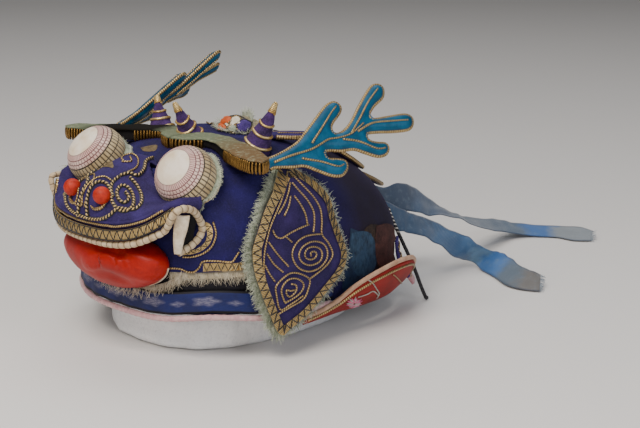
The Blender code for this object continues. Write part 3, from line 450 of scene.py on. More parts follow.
class Stock:
    """Points, faces and cloth coordinates of one piece while it is being made, in millimetres."""

    def __init__(self):
        self.points = []
        self.faces = []
        self.places = []
        self.slots = []

    def face(self, corners, places, slot=0):
        self.faces.append(corners)
        self.places.extend(places)
        self.slots.append(slot)

    def sweep(self, path, radius, sides=6, closed=False, slot=0):
        """Add a round thread along a path; radius is a number or a function of the share of its length."""
        path = [p for i, p in enumerate(path) if i == 0 or (p - path[i - 1]).length > 1e-5]
        count = len(path)
        if count < 2:
            return
        start = len(self.points)
        side = None
        length = 0.0
        lengths = []
        total = sum((b - a).length for a, b in zip(path, path[1:])) or 1.0
        for i, point in enumerate(path):
            before = path[i - 1] if i or closed else path[0]
            after = path[(i + 1) % count] if closed or i < count - 1 else path[-1]
            ahead = (after - before).normalized()
            if side is None:
                side = ahead.orthogonal().normalized()
            side = (side - ahead * side.dot(ahead)).normalized()
            up = ahead.cross(side)
            if i:
                length += (point - path[i - 1]).length
            lengths.append(length)
            wide = radius(length / total) if callable(radius) else radius
            for k in range(sides):
                turn = 2 * math.pi * k / sides
                self.points.append(point + (side * math.cos(turn) + up * math.sin(turn)) * wide)
        rings = count if closed else count - 1
        for i in range(rings):
            j = (i + 1) % count
            far = lengths[j] if j else total
            for k in range(sides):
                m = (k + 1) % sides
                self.face((start + i * sides + k, start + i * sides + m,
                           start + j * sides + m, start + j * sides + k),
                          ((lengths[i], k / sides), (lengths[i], (k + 1) / sides),
                           (far, (k + 1) / sides), (far, k / sides)), slot)
        if not closed:
            self.face([start + k for k in reversed(range(sides))], [(0.0, 0.5)] * sides, slot)
            last = start + (count - 1) * sides
            self.face([last + k for k in range(sides)], [(total, 0.5)] * sides, slot)

    def grid(self, columns, rows, where, width, height, slot=0, closed=False):
        """Add a sheet shaped by where(u, v), both 0 to 1."""
        start = len(self.points)
        across = columns if closed else columns + 1
        for j in range(rows + 1):
            for i in range(across):
                self.points.append(Vector(where(i / columns, j / rows)))
        for j in range(rows):
            for i in range(columns):
                a = start + j * across + i
                b = start + j * across + (i + 1) % across
                self.face((a, b, b + across, a + across),
                          ((width * i / columns, height * j / rows),
                           (width * (i + 1) / columns, height * j / rows),
                           (width * (i + 1) / columns, height * (j + 1) / rows),
                           (width * i / columns, height * (j + 1) / rows)), slot)

    def bead(self, centre, radius, normal=None, flat=1.0, slot=0):
        shape = bmesh.new()
        bmesh.ops.create_icosphere(shape, subdivisions=1, radius=1.0)
        start = len(self.points)
        up = Vector(normal).normalized() if normal is not None else Vector((0, 0, 1))
        for vert in shape.verts:
            part = vert.co - up * vert.co.dot(up) * (1.0 - flat)
            self.points.append(Vector(centre) + part * radius)
        for face in shape.faces:
            self.face([start + v.index for v in face.verts], [(0.0, 0.0)] * 3, slot)
        shape.free()


def settle(item):
    """Apply what is on a piece, so that only its finished mesh is left."""
    bpy.context.view_layer.update()
    graph = bpy.context.evaluated_depsgraph_get()
    mesh = bpy.data.meshes.new_from_object(item.evaluated_get(graph))
    item.modifiers.clear()
    old = item.data
    item.data = mesh
    bpy.data.meshes.remove(old)
    return item


def show(name, mesh, materials, nodes=(), slot=None, smooth=True):
    """Put a finished mesh in the scene as a piece that rides with the hat."""
    item = bpy.data.objects.new(name, mesh)
    bpy.context.scene.collection.objects.link(item)
    slots = [polygon.material_index for polygon in mesh.polygons]
    mesh.materials.clear()
    for material in materials:
        mesh.materials.append(material)
    mesh.polygons.foreach_set("material_index", slots)
    mesh.polygons.foreach_set("use_smooth", [smooth] * len(mesh.polygons))
    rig.ride(item, "root")
    if nodes:
        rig.replaces(item, *nodes)
    if slot:
        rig.slot(item, slot)
    return item


def piece(name, stock, materials, nodes=(), slot=None, wall=0.0, outward=0.0, smooth=True):
    mesh = bpy.data.meshes.new(name)
    mesh.from_pydata([p * MM for p in stock.points], [], stock.faces)
    layer = mesh.uv_layers.new(name="cloth")
    layer.data.foreach_set("uv", [value for place in stock.places for value in place])
    mesh.polygons.foreach_set("material_index", stock.slots)
    item = show(name, mesh, materials, nodes, slot, smooth)
    if wall:
        thick = item.modifiers.new("wall", "SOLIDIFY")
        thick.thickness = wall * MM
        thick.offset = outward
        settle(item)
    return item


def body_mesh(node):
    """A CAD node's mesh with its split corners joined again."""
    mesh = frame["nodes"][node].data.copy()
    shape = bmesh.new()
    shape.from_mesh(mesh)
    bmesh.ops.remove_doubles(shape, verts=shape.verts, dist=0.000002)
    shape.to_mesh(mesh)
    shape.free()
    return mesh


def soft_piece(name, node, materials, voxel, rounds, shape_point=None, slot=None, nodes=None):
    """A padded piece in the space of its CAD solid: remeshed, rounded, then moved point by point."""
    item = show(name, body_mesh(node), materials, nodes if nodes is not None else (node,), slot)
    fine = item.modifiers.new("fine", "REMESH")
    fine.mode = "VOXEL"
    fine.voxel_size = voxel * MM
    relax = item.modifiers.new("relax", "SMOOTH")
    relax.factor = 0.5
    relax.iterations = rounds
    settle(item)
    if shape_point:
        for vert in item.data.vertices:
            vert.co = shape_point(vert.co / MM, vert.normal) * MM
    item.data.polygons.foreach_set("use_smooth", [True] * len(item.data.polygons))
    return item


def mirrored(item, name, nodes=(), slot=None):
    mesh = item.data.copy()
    mesh.transform(Matrix.Scale(-1.0, 4, (1.0, 0.0, 0.0)))
    mesh.flip_normals()
    return show(name, mesh, [m for m in item.data.materials], nodes, slot)


# Where threads and patches lie: on the surface of the piece that carries them

CAMERA_PLACE = (684.0, -620.7, 301.7)
CAMERA_TURN = math.radians(45.0)
CAMERA_RISE = math.radians(15.0)
FOCAL_PIXELS = 1815.0
PICTURE = (640, 428)


def camera_axes():
    back = Vector((math.sin(CAMERA_TURN) * math.cos(CAMERA_RISE),
                   -math.cos(CAMERA_TURN) * math.cos(CAMERA_RISE), math.sin(CAMERA_RISE)))
    right = Vector((math.cos(CAMERA_TURN), math.sin(CAMERA_TURN), 0.0))
    return right, back.cross(right), back


def carrier(*names):
    """Search tree over the named pieces, in millimetres."""
    points = []
    faces = []
    for name in names:
        mesh = bpy.data.objects[name].data
        start = len(points)
        points.extend(v.co / MM for v in mesh.vertices)
        faces.extend([start + i for i in p.vertices] for p in mesh.polygons)
    return BVHTree.FromPolygons(points, faces)


def laid(marks, tree, lift, step=0.9):
    """Thread path through marks seen from the front right, (across, down), resting on the carrier."""
    right, up, back = camera_axes()
    path = []
    for mark in spline_path([(x, y, 0.0) for x, y in marks], step):
        ray = right * ((mark.x - PICTURE[0] / 2) / FOCAL_PIXELS) - back
        ray -= up * ((mark.y - PICTURE[1] / 2) / FOCAL_PIXELS)
        spot, normal, _, _ = tree.ray_cast(Vector(CAMERA_PLACE), ray.normalized())
        if spot is not None:
            if normal.dot(ray) > 0:
                normal = -normal
            path.append(spot + normal * lift)
    return smoothed(path)


def smoothed(path, rounds=2):
    for _ in range(rounds):
        path = [path[0]] + [(a + b * 2 + c) / 4 for a, b, c in zip(path, path[1:], path[2:])] + [path[-1]] \
            if len(path) > 2 else path
    return path


def seated(path, tree, lift, reach=12.0):
    """The same path moved onto the carrier's nearest surface."""
    made = []
    for point in path:
        spot, normal, _, _ = tree.find_nearest(point, reach)
        if spot is not None:
            made.append(spot + normal * lift)
    return smoothed(made, 1)


def flipped(path):
    return [Vector((-p.x, p.y, p.z)) for p in path]


def zigzag(first, second, pitch):
    """Corner points of a zigzag between two edges of a strip."""
    a = spline_path(first, pitch)
    b = spline_path(second, (sum((q - p).length for p, q in zip(second, second[1:])) / (len(a) - 1)))
    count = min(len(a), len(b)) - 1
    corners = []
    for i in range(count):
        corners.append(a[i])
        corners.append((b[i] + b[i + 1]) / 2)
    corners.append(a[count])
    return corners


def straight(corners, step=1.6):
    path = []
    for a, b in zip(corners, corners[1:]):
        count = max(1, round((b - a).length / step))
        path.extend(a.lerp(b, i / count) for i in range(count))
    path.append(corners[-1])
    return path


def fray(stock, roots, per_mm, length, seed, sag=0.25, spread=0.6, slot=0, thread=None):
    """Loose threads from a torn edge; roots are (point, outward direction) in order along the edge."""
    chance = random.Random(seed)
    thread = thread or millimetres("fray_thread")
    for (a, out_a), (b, out_b) in zip(roots, roots[1:]):
        count = (b - a).length * per_mm
        count = int(count) + (1 if chance.random() < count - int(count) else 0)
        along = (b - a).normalized()
        for _ in range(count):
            share = chance.random()
            start = a.lerp(b, share)
            out = out_a.lerp(out_b, share).normalized()
            cross = along.cross(out)
            heading = (out + along * chance.gauss(0, spread) + cross * chance.gauss(0, 0.22)).normalized()
            reach = length * (0.35 + 0.75 * chance.random())
            bend = along * chance.gauss(0, 0.3) + Vector((0, 0, -sag)) + cross * chance.gauss(0, 0.15)
            path = [start - out * 0.8]
            for k in (1, 2, 3):
                t = k / 3
                path.append(start + heading * reach * t + bend * reach * t * t)
            stock.sweep(path, lambda s: thread / 2 * (1.0 - 0.6 * s), 3, slot=slot)


# Shapes of the hat, the same as in the CAD source

CROWN_HALF_WIDTH = 66.0
CROWN_FRONT = 76.0
CROWN_BACK = 88.0
CROWN_SHOULDER = 40.0
CROWN_TOP = 100.0
CROWN_RIM_FRONT = 24.0
CROWN_RIM_BACK = 15.0
CROWN_WALL = 3.0
PLAN_POWER = 2.7
DOME_POWER_FRONT = 3.2
DOME_POWER_BACK = 1.8
BAND_HEIGHT = 11.5
BAND_BOTTOM = 22.6
BAND_START = -184.0
BAND_END = 3.0
FACE_LOW = 47.0
FACE_HIGH = 90.0
FACE_REACH = 66.0


def crown_reach(angle, off=0.0):
    depth = CROWN_BACK if math.sin(angle) > 0 else CROWN_FRONT
    across = abs(math.cos(angle)) / (CROWN_HALF_WIDTH + off)
    along = abs(math.sin(angle)) / (depth + off)
    return (across ** PLAN_POWER + along ** PLAN_POWER) ** (-1.0 / PLAN_POWER)


def dome_power(angle):
    share = min(1.0, max(0.0, (math.sin(angle) + 0.1) / 0.8))
    share = share * share * (3.0 - 2.0 * share)
    return DOME_POWER_FRONT + (DOME_POWER_BACK - DOME_POWER_FRONT) * share


def crown_shrink(angle, z, off=0.0):
    rise = (z - CROWN_SHOULDER) / (CROWN_TOP + off - CROWN_SHOULDER)
    rise = min(1.0, max(0.0, rise))
    power = dome_power(angle)
    return (1.0 - rise ** power) ** (1.0 / power)


def crown_point(angle, z, off=0.0):
    reach = crown_reach(angle, off) * crown_shrink(angle, z, off)
    return Vector((reach * math.cos(angle), reach * math.sin(angle), z))


def crown_height(x, y):
    angle = math.atan2(y, x)
    share = min(1.0, math.hypot(x, y) / crown_reach(angle))
    power = dome_power(angle)
    rise = (1.0 - share ** power) ** (1.0 / power)
    return CROWN_SHOULDER + rise * (CROWN_TOP - CROWN_SHOULDER)


def side_point(y, z, off=0.0):
    depth = (CROWN_BACK if y > 0 else CROWN_FRONT) + off
    x = CROWN_HALF_WIDTH
    for _ in range(4):
        shrink = crown_shrink(math.atan2(y, x), z, off)
        share = min(0.98, abs(y) / (depth * shrink))
        x = (CROWN_HALF_WIDTH + off) * shrink * (1.0 - share ** PLAN_POWER) ** (1.0 / PLAN_POWER)
    return Vector((x, y, z))


def band_low(angle):
    turn = math.degrees(angle) % 360.0 - 360.0
    side = min(abs(turn + 50.0), abs(turn + 130.0))
    return BAND_BOTTOM + 3.2 * math.exp(-(side / 15.0) ** 2)


def ruffle(point, size, depth, seed=0.0):
    """Small uneven rise and fall of a padded or sewn surface."""
    return depth * noise.noise(Vector(point) / size + Vector((seed, 0.0, 0.0)))


# Stage

def area_light(name, place, aim, size, power, tint="ffffff"):
    light = bpy.data.lights.new(name, "AREA")
    light.shape = "RECTANGLE"
    light.size = size[0]
    light.size_y = size[1]
    light.energy = power
    light.color = linear(tint)
    item = bpy.data.objects.new(name, light)
    item.location = place
    item.rotation_euler = (Vector(aim) - Vector(place)).to_track_quat("-Z", "Y").to_euler()
    bpy.context.scene.collection.objects.link(item)


class HAT_OT_stage(bpy.types.Operator):
    """Pale paper sweep, soft studio lights and the camera"""
    bl_idname = "hat.stage"
    bl_label = "Studio Stage"

    def execute(self, context):
        right, up, back = camera_axes()
        camera = bpy.data.cameras.new("camera")
        camera.sensor_width = 36.0
        camera.lens = FOCAL_PIXELS / PICTURE[0] * 36.0
        camera.clip_start = 0.05
        camera.clip_end = 20.0
        item = bpy.data.objects.new("camera", camera)
        item.matrix_world = Matrix((right, up, back)).transposed().to_4x4()
        item.location = Vector(CAMERA_PLACE) * MM
        context.scene.collection.objects.link(item)
        context.scene.camera = item

        # Matt background paper, pale grey in front and painted darker to mid grey behind: painted shade for the light
        # that falls off towards the back
        paper, tree, shader = blank("paper_matt_grey")
        cloud = add(tree, "TexNoise", {"Vector": add(tree, "TexCoord", out="Object"),
            "Scale": 1.0 / (300.0 * MM), "Detail": 3.0, "Roughness": 0.55})
        depth = add(tree, "SeparateXYZ", {0: add(tree, "TexCoord", out="Object")}, out=None)
        away = add(tree, "Math", (depth.outputs[1], depth.outputs[0]), operation="SUBTRACT")
        even = add(tree, "Mix", {0: cloud, 6: linear("e6e4e2"), 7: linear("eae8e6")}, 2, data_type="RGBA")
        # painted shade: the paper is mixed to mid grey further back
        far = add(tree, "MapRange", (away, -0.35, 1.6))
        tree.links.new(add(tree, "Mix", {0: far, 6: even, 7: linear("a3a19f")}, 2, data_type="RGBA"),
            shader.inputs["Base Color"])
        shader.inputs["Roughness"].default_value = 0.9
        shader.inputs["Specular IOR Level"].default_value = 0.2
        sweep = Stock()
        turn = Matrix.Rotation(CAMERA_TURN, 3, "Z")

        def paper_point(u, v):
            reach = -2600.0 + 6000.0 * v
            rise = 0.0
            if reach > 2500.0:
                bend = min(1.0, (reach - 2500.0) / 700.0)
                rise = 500.0 * bend * bend + max(0.0, reach - 3200.0) * 6.0
                reach = 2500.0 + (reach - 2500.0) * (1.0 - 0.25 * bend)
            return turn @ Vector(((u - 0.5) * 6000.0, reach, rise))
        sweep.grid(12, 60, paper_point, 6000.0, 6000.0)
        mesh = bpy.data.meshes.new("paper_sweep")
        mesh.from_pydata([p * MM for p in sweep.points], [], sweep.faces)
        mesh.materials.append(paper)
        mesh.polygons.foreach_set("use_smooth", [True] * len(mesh.polygons))
        floor = bpy.data.objects.new("paper_sweep", mesh)
        context.scene.collection.objects.link(floor)
        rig.stage(floor)

        area_light("key_box", (0.25, -0.75, 1.15), (0.1, -0.2, 0.0), (0.8, 0.6), 18.0, "fff6ec")
        area_light("side_box", (1.35, 0.15, 0.75), (0.0, 0.0, 0.05), (0.7, 0.7), 5.5, "eef3ff")
        area_light("top_box", (-0.5, 0.35, 1.2), (0.0, 0.0, 0.05), (0.9, 0.9), 6.0)
        area_light("front_box", (0.75, -1.05, 0.42), (0.0, -0.03, 0.05), (0.6, 0.4), 3.2, "fff8f0")
        world = bpy.data.worlds.new("room_fill")
        context.scene.world = world
        world.use_nodes = True
        fill = world.node_tree.nodes["Background"]
        fill.inputs["Color"].default_value = rgba(linear("dfe2e8"))
        fill.inputs["Strength"].default_value = 0.26
        return {"FINISHED"}


# Cord at the nape

TIE_CORD = [
    (33.9, 81.6, 49.0),
    (39.2, 81.2, 41.0),
    (43.8, 82.6, 32.0),
    (50.0, 85.0, 19.0),
    (54.5, 86.5, 8.0),
    (57.0, 88.0, 1.3),
]


class HAT_OT_tie_cord(bpy.types.Operator):
    """Black silk cord that hangs beside the neck opening and ends in a knot on the paper"""
    bl_idname = "hat.tie_cord"
    bl_label = "Tie Cord"

    def execute(self, context):
        # Plied silk, black, with a white ply in its first 14 mm: the turns show as small slanting ridges
        material, tree, shader = blank("silk_plied_black")
        place = add(tree, "SeparateXYZ", {0: add(tree, "TexCoord", out="UV")}, out=None)
        turn = add(tree, "Math", (add(tree, "Math", (place.outputs[0], 2.2), operation="DIVIDE"),
            place.outputs[1]), operation="ADD")
        wave = add(tree, "Math", (add(tree, "Math", (turn, 2 * math.pi), operation="MULTIPLY"),),
            operation="SINE")
        white = add(tree, "Math", (add(tree, "MapRange", (wave, 0.2, 0.5)),
            add(tree, "MapRange", (place.outputs[0], 16.0, 13.0))), operation="MULTIPLY")
        tree.links.new(add(tree, "Mix", {0: white, 6: linear("15141a"), 7: linear("c9c5bc")}, 2,
            data_type="RGBA"), shader.inputs["Base Color"])
        shader.inputs["Roughness"].default_value = 0.5
        tree.links.new(add(tree, "Bump", {"Height": wave, "Distance": 0.35 * MM, "Strength": 0.8}),
            shader.inputs["Normal"])
        path = spline_path(TIE_CORD, 1.2)
        stock = Stock()
        stock.sweep(path, lambda s: 1.0, 10)
        cord = piece("tie_cord_silk", stock, [material], ("tie_cord",), "tie_thread")
        knot = Stock()
        knot.bead(path[-1] + Vector((0.2, 0.2, 0.15)), 1.35)
        tip = piece("tie_cord_knot", knot, [material], (), "tie_thread")
        length = sum((b - a).length for a, b in zip(path, path[1:]))
        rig.cord(cord, exit=[v * MM for v in TIE_CORD[0]], length=length * MM, diameter=2.0 * MM,
                far_end="knot", stiffness="limp", lay="hanging",
                path=[list(p * MM) for p in path], with_pieces=[tip])
        return {"FINISHED"}


# Foam block

class HAT_OT_foam_block(bpy.types.Operator):
    """White foam block with fuzzy cut sides that holds the hat up"""
    bl_idname = "hat.foam_block"
    bl_label = "Foam Block"

    def execute(self, context):
        # Polyester wadding, cut: white, almost without shine, with light passing a little way in
        foam, tree, shader = blank("wadding_white_cut")
        place = add(tree, "TexCoord", out="Object")
        cells = add(tree, "TexNoise", {"Vector": place, "Scale": 1.0 / (1.6 * MM), "Detail": 5.0,
            "Roughness": 0.75})
        cloud = add(tree, "TexNoise", {"Vector": place, "Scale": 1.0 / (18.0 * MM), "Detail": 3.0,
            "Roughness": 0.55})
        colour = add(tree, "Mix", {0: add(tree, "MapRange", (cloud, 0.3, 0.7)), 6: linear("eef0f2"),
            7: linear("fbfbfb")}, 2, data_type="RGBA")
        colour = add(tree, "Mix", {0: add(tree, "MapRange", (cells, 0.5, 0.2)), 6: colour,
            7: linear("d9dadd")}, 2, data_type="RGBA")
        tree.links.new(colour, shader.inputs["Base Color"])
        shader.inputs["Roughness"].default_value = 0.95
        shader.inputs["Subsurface Weight"].default_value = 0.25
        shader.inputs["Subsurface Radius"].default_value = (0.004, 0.004, 0.004)
        shader.inputs["Specular IOR Level"].default_value = 0.15
        tree.links.new(add(tree, "Bump", {"Height": cells, "Distance": 0.7 * MM, "Strength": 0.9}),
            shader.inputs["Normal"])

        def uneven(point, normal):
            rise = ruffle(point, 14.0, 0.9) + ruffle(point, 4.0, 0.35, 7.0)
            if point.z < 1.0:
                rise = 0.0
            return point + normal * min(rise, 0.3)
        item = soft_piece("foam_block", "foam_stand", [foam], 1.8, 3, uneven, "stand_foam")
        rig.padded(item, fill=1.0)
        return {"FINISHED"}


# Crown

class HAT_OT_crown(bpy.types.Operator):
    """Padded crown, its patches and the dark cloth that shows under the face"""
    bl_idname = "hat.crown"
    bl_label = "Crown"

    def execute(self, context):
        # Fulled wool, dyed indigo: matt, with the nap rubbed paler on the rises
        wool = napped_cloth("wool_indigo_crown", hue("indigo"), linear("150f33"), linear("42377a"))
        # Towards the back, behind the ears, the wool is mixed almost to black
        tree = wool.node_tree
        shader = tree.nodes["Principled BSDF"]
        whole = shader.inputs["Base Color"].links[0].from_socket
        spot = add(tree, "SeparateXYZ", {0: add(tree, "TexCoord", out="Object")}, out=None)
        stray = add(tree, "Math", (add(tree, "Math", (add(tree, "TexNoise",
            {"Vector": add(tree, "TexCoord", out="Object"), "Scale": 1.0 / (9.0 * MM), "Detail": 4.0,
            "Roughness": 0.55}), 0.5), operation="SUBTRACT"), 0.03), operation="MULTIPLY")
        rear = add(tree, "MapRange", (add(tree, "Math", (spot.outputs[1], stray), operation="ADD"), 0.012,
            0.034))
        tree.links.new(add(tree, "Mix", {0: add(tree, "Math", (rear, 0.85), operation="MULTIPLY"), 6: whole,
            7: linear("1a1214")}, 2, data_type="RGBA"),
            shader.inputs["Base Color"])
        shader.inputs["Sheen Weight"].default_value = 0.2
        stock = Stock()
        wall_latitude = 22.5

        def where(u, v):
            angle = 2 * math.pi * u - math.pi
            latitude = 90.0 * v
            if latitude < wall_latitude:
                back = 0.5 + 0.5 * math.sin(angle)
                low = CROWN_RIM_FRONT + (CROWN_RIM_BACK - CROWN_RIM_FRONT) * min(1.0,
                    max(0.0, 3 * back - 1.2))
                z = low + (CROWN_SHOULDER - low) * latitude / wall_latitude
                reach = crown_reach(angle)
            else:
                phi = (latitude - wall_latitude) / (90.0 - wall_latitude) * math.pi / 2
                bend = 2.0 / dome_power(angle)
                z = CROWN_SHOULDER + (CROWN_TOP - CROWN_SHOULDER) * math.sin(phi) ** bend
                reach = crown_reach(angle) * max(0.0, math.cos(phi)) ** bend
            point = Vector((reach * math.cos(angle), reach * math.sin(angle), z))
            return point + point.normalized() * min(0.2, ruffle(point, 15.0, 0.7))
        stock.grid(120, 48, where, 440.0, 120.0, closed=True)
        mesh = bpy.data.meshes.new("crown_shell")
        mesh.from_pydata([p * MM for p in stock.points], [], stock.faces)
        layer = mesh.uv_layers.new(name="cloth")
        layer.data.foreach_set("uv", [value for place in stock.places for value in place])
        shape = bmesh.new()
        shape.from_mesh(mesh)
        bmesh.ops.remove_doubles(shape, verts=shape.verts, dist=0.0001)
        shape.to_mesh(mesh)
        shape.free()
        crown = show("crown_wool", mesh, [wool], ("crown",), "crown_cloth")
        thick = crown.modifiers.new("wall", "SOLIDIFY")
        thick.thickness = CROWN_WALL * MM
        thick.offset = -1.0
        settle(crown)
        cutter_shape = bmesh.new()
        bmesh.ops.create_cone(cutter_shape, cap_ends=True, segments=64, radius1=1.0, radius2=1.0, depth=1.0)
        for vert in cutter_shape.verts:
            across, high, along = vert.co.x, vert.co.y, vert.co.z
            vert.co = Vector((across * 40.0, 88.0 + along * 80.0, CROWN_RIM_BACK + high * 35.0)) * MM
        bmesh.ops.recalc_face_normals(cutter_shape, faces=cutter_shape.faces)
        cutter_mesh = bpy.data.meshes.new("neck_notch")
        cutter_shape.to_mesh(cutter_mesh)
        cutter_shape.free()
        cutter = bpy.data.objects.new("neck_notch", cutter_mesh)
        context.scene.collection.objects.link(cutter)
        notch = crown.modifiers.new("notch", "BOOLEAN")
        notch.operation = "DIFFERENCE"
        notch.solver = "EXACT"
        notch.object = cutter
        settle(crown)
        bpy.data.objects.remove(cutter)
        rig.padded(crown, fill=0.5)

        # Black cotton, plain: the lining cloth that shows between the face and the head band
        black = napped_cloth("cotton_black", linear("17151c"), linear("0d0c10"), linear("3a3742"), 1.1)
        under = Stock()
        for low, high in ((-72.0, -18.0), (-162.0, -108.0)):
            under.grid(40, 3, lambda u, v: crown_point(
                math.radians(low + (high - low) * u), 35.0 + 9.5 * v, 0.25), 60.0, 9.0)
        piece("under_cloth", under, [black], (), "crown_cloth", 0.25, 1.0)

        # Faded silk patches behind the ears: blue rubbed to grey, and a dark brown patch that is partly painted shade,
        # laid in the slit under the mane where shade falls
        blue = satin("silk_blue_faded", linear("1b2c48"), linear("0d1420"), linear("3a5570"), 0.8, 5.0, 0.6,
            "Object", 0.1)
        # dark brown, partly painted shade for the slit under the mane
        brown = napped_cloth("silk_brown_worn", linear("352821"), linear("191316"), linear("5c4a3a"), 1.0,
            4.0)
        tree = carrier("crown_wool")
        patches = Stock()
        for outline, slot in (
                ([(350, 228), (361, 233), (369, 244), (374, 256), (372, 268), (362, 278), (350, 287),
                  (342, 291), (344, 270), (348, 250)], 0),
                ([(370, 224), (384, 227), (393, 240), (402, 260), (399, 272), (380, 270), (375, 258),
                  (371, 244), (363, 232)], 1)):
            laid_patch(patches, outline, tree, 0.35, 0.25, slot)
        right = piece("rear_patches_right", patches, [blue, brown], (), "crown_cloth")
        mirrored(right, "rear_patches_left", (), "crown_cloth")
        return {"FINISHED"}


def laid_patch(stock, outline, tree, lift, dome=0.0, slot=0, rings=6, count=36):
    """Cloth patch or satin-stitched petal with that outline, resting on the carrier."""
    loop = spline_path([(x, y, 0.0) for x, y in outline] + [(*outline[0], 0.0)], 1.0)
    edge = [loop[int(i * (len(loop) - 1) / count)] for i in range(count)]
    middle = sum(edge, Vector()) / count
    right, up, back = camera_axes()

    def spot_at(mark, height):
        ray = right * ((mark.x - PICTURE[0] / 2) / FOCAL_PIXELS) - back
        ray -= up * ((mark.y - PICTURE[1] / 2) / FOCAL_PIXELS)
        spot, normal, _, _ = tree.ray_cast(Vector(CAMERA_PLACE), ray.normalized())
        if spot is None:
            return None
        if normal.dot(ray) > 0:
            normal = -normal
        return spot + normal * height
    centre = spot_at(middle, lift + dome)
    if centre is None:
        return
    points = []
    for j in range(rings + 1):
        share = j / rings
        row = []
        for mark in edge:
            spot = spot_at(middle.lerp(mark, share), lift + dome * (1.0 - share ** 3))
            if spot is None:
                spot = points[-1][len(row)] if points else centre
            row.append(spot)
        points.append(row)
    start = len(stock.points)
    for row in points:
        stock.points.extend(row)
    for j in range(rings):
        for i in range(count):
            m = (i + 1) % count
            a = start + j * count
            corners = (a + i, a + m, a + count + m, a + count + i)
            places = [(10.0 * j, 2.0 * i)] * 4
            if j == 0:
                corners = (a, a + count + m, a + count + i)
                places = places[:3]
            stock.face(corners, places, slot)


# Head band

def flower_ribbon():
    """Woven silk ribbon: blue ground, black selvedges and wide grey blossoms every 27 mm."""
    material, tree, shader = blank("silk_ribbon_woven_blue")
    place = add(tree, "SeparateXYZ", {0: add(tree, "TexCoord", out="UV")}, out=None)
    along, up = place.outputs[0], place.outputs[1]
    body = add(tree, "TexCoord", out="Object")

    def blossom(shift, height, size, petals, squeeze):
        across = add(tree, "Math", (add(tree, "Math", (add(tree, "Math", (along, shift), operation="ADD"),
            27.0), operation="MODULO"), 13.5), operation="SUBTRACT")
        across = add(tree, "Math", (across, squeeze), operation="MULTIPLY")
        rise = add(tree, "Math", (up, height), operation="SUBTRACT")
        angle = add(tree, "Math", (rise, across), operation="ARCTAN2")
        reach = add(tree, "Math", (add(tree, "Math", (add(tree, "Math", (across, across),
            operation="MULTIPLY"), add(tree, "Math", (add(tree, "Math", (rise, rise), operation="MULTIPLY"),
            1.5), operation="MULTIPLY")), operation="ADD"),), operation="SQRT")
        edge = add(tree, "Math", (size, add(tree, "Math",
            (add(tree, "Math", (add(tree, "Math", (angle, petals), operation="MULTIPLY"),),
            operation="COSINE"), size * 0.17), operation="MULTIPLY")), operation="ADD")
        return add(tree, "MapRange", (add(tree, "Math", (edge, reach), operation="SUBTRACT"), -0.5, 1.2))
    weave = add(tree, "TexNoise", {"Vector": add(tree, "Mapping",
        {"Vector": add(tree, "TexCoord", out="UV"), "Scale": (0.3, 1.6, 1.0)}), "Scale": 1.0 / 0.7,
        "Detail": 3.0, "Roughness": 0.7})
    cloud = add(tree, "TexNoise", {"Vector": body, "Scale": 1.0 / (9.0 * MM), "Detail": 3.0,
        "Roughness": 0.55})
    ground = add(tree, "Mix", {0: add(tree, "MapRange", (cloud, 0.35, 0.7)), 6: linear("161c4a"),
        7: hue("band")}, 2, data_type="RGBA")
    ground = add(tree, "Mix", {0: add(tree, "Math", (add(tree, "MapRange", (weave, 0.5, 0.8)), 0.2),
        operation="MULTIPLY"), 6: ground, 7: linear("3a4890")}, 2, data_type="RGBA")
    petals = add(tree, "Math", (blossom(0.0, 6.2, 2.9, 5.0, 0.48), blossom(13.5, 5.4, 1.6, 4.0, 0.5)),
        operation="MAXIMUM")
    petals = add(tree, "Math", (petals, add(tree, "MapRange", (weave, 0.3, 0.75))), operation="MULTIPLY")
    colour = add(tree, "Mix", {0: petals, 6: ground, 7: linear("8b8798")}, 2, data_type="RGBA")
    edge = add(tree, "Math", (add(tree, "MapRange", (up, 1.5, 1.0)),
        add(tree, "MapRange", (up, 10.3, 10.8))), operation="MAXIMUM")
    colour = add(tree, "Mix", {0: edge, 6: colour, 7: linear("131218")}, 2, data_type="RGBA")
    tree.links.new(colour, shader.inputs["Base Color"])
    shader.inputs["Roughness"].default_value = 0.6
    shader.inputs["Specular IOR Level"].default_value = 0.3
    tree.links.new(add(tree, "Bump", {"Height": add(tree, "Math", (weave, petals), operation="ADD"),
        "Distance": 0.15 * MM, "Strength": 0.6}), shader.inputs["Normal"])
    return material


class HAT_OT_head_band(bpy.types.Operator):
    """Woven ribbon round the rim and the pink piping under it"""
    bl_idname = "hat.head_band"
    bl_label = "Head Band"

    def execute(self, context):
        band = Stock()

        def where(u, v):
            angle = math.radians(BAND_START + (BAND_END - BAND_START) * u)
            point = crown_point(angle, CROWN_SHOULDER - 1.0, GAP + 0.35)
            wave = 0.35 * math.sin(37.0 * angle) * (1.0 - v)
            return Vector((point.x, point.y, band_low(angle) + BAND_HEIGHT * v)) \
                + Vector((point.x, point.y, 0.0)).normalized() * (wave + 0.25)
        band.grid(220, 6, where, 250.0, 11.5)
        piece("head_band_ribbon", band, [flower_ribbon()], ("head_band",), "band_cloth", 1.5, 1.0)

        # Cotton bias binding, faded pink: matt with small creases across it
        pink = plain_thread("cotton_binding_pink", linear("b98a90"), linear("dab5b4"), 2.0, 0.8)
        points = []
        for i in range(49):
            angle = math.radians(BAND_START + 1.0 + (BAND_END - BAND_START - 2.0) * i / 48)
            point = crown_point(angle, CROWN_SHOULDER - 1.0, 2.0)
            point.z = band_low(angle) - 2.2
            points.append(point)
        piping = Stock()
        piping.sweep(spline_path(points, 1.4), lambda s: 1.5 + 0.12 * math.sin(s * 700.0), 10)
        piece("band_binding", piping, [pink], ("band_piping",), "piping_cloth")
        return {"FINISHED"}


# Face cloth, its hem and its fringe

def face_hem(angle, up):
    dip = 3.5 * math.exp(-((math.degrees(angle) + 90.0) / 26.0) ** 2)
    return FACE_LOW - dip + up


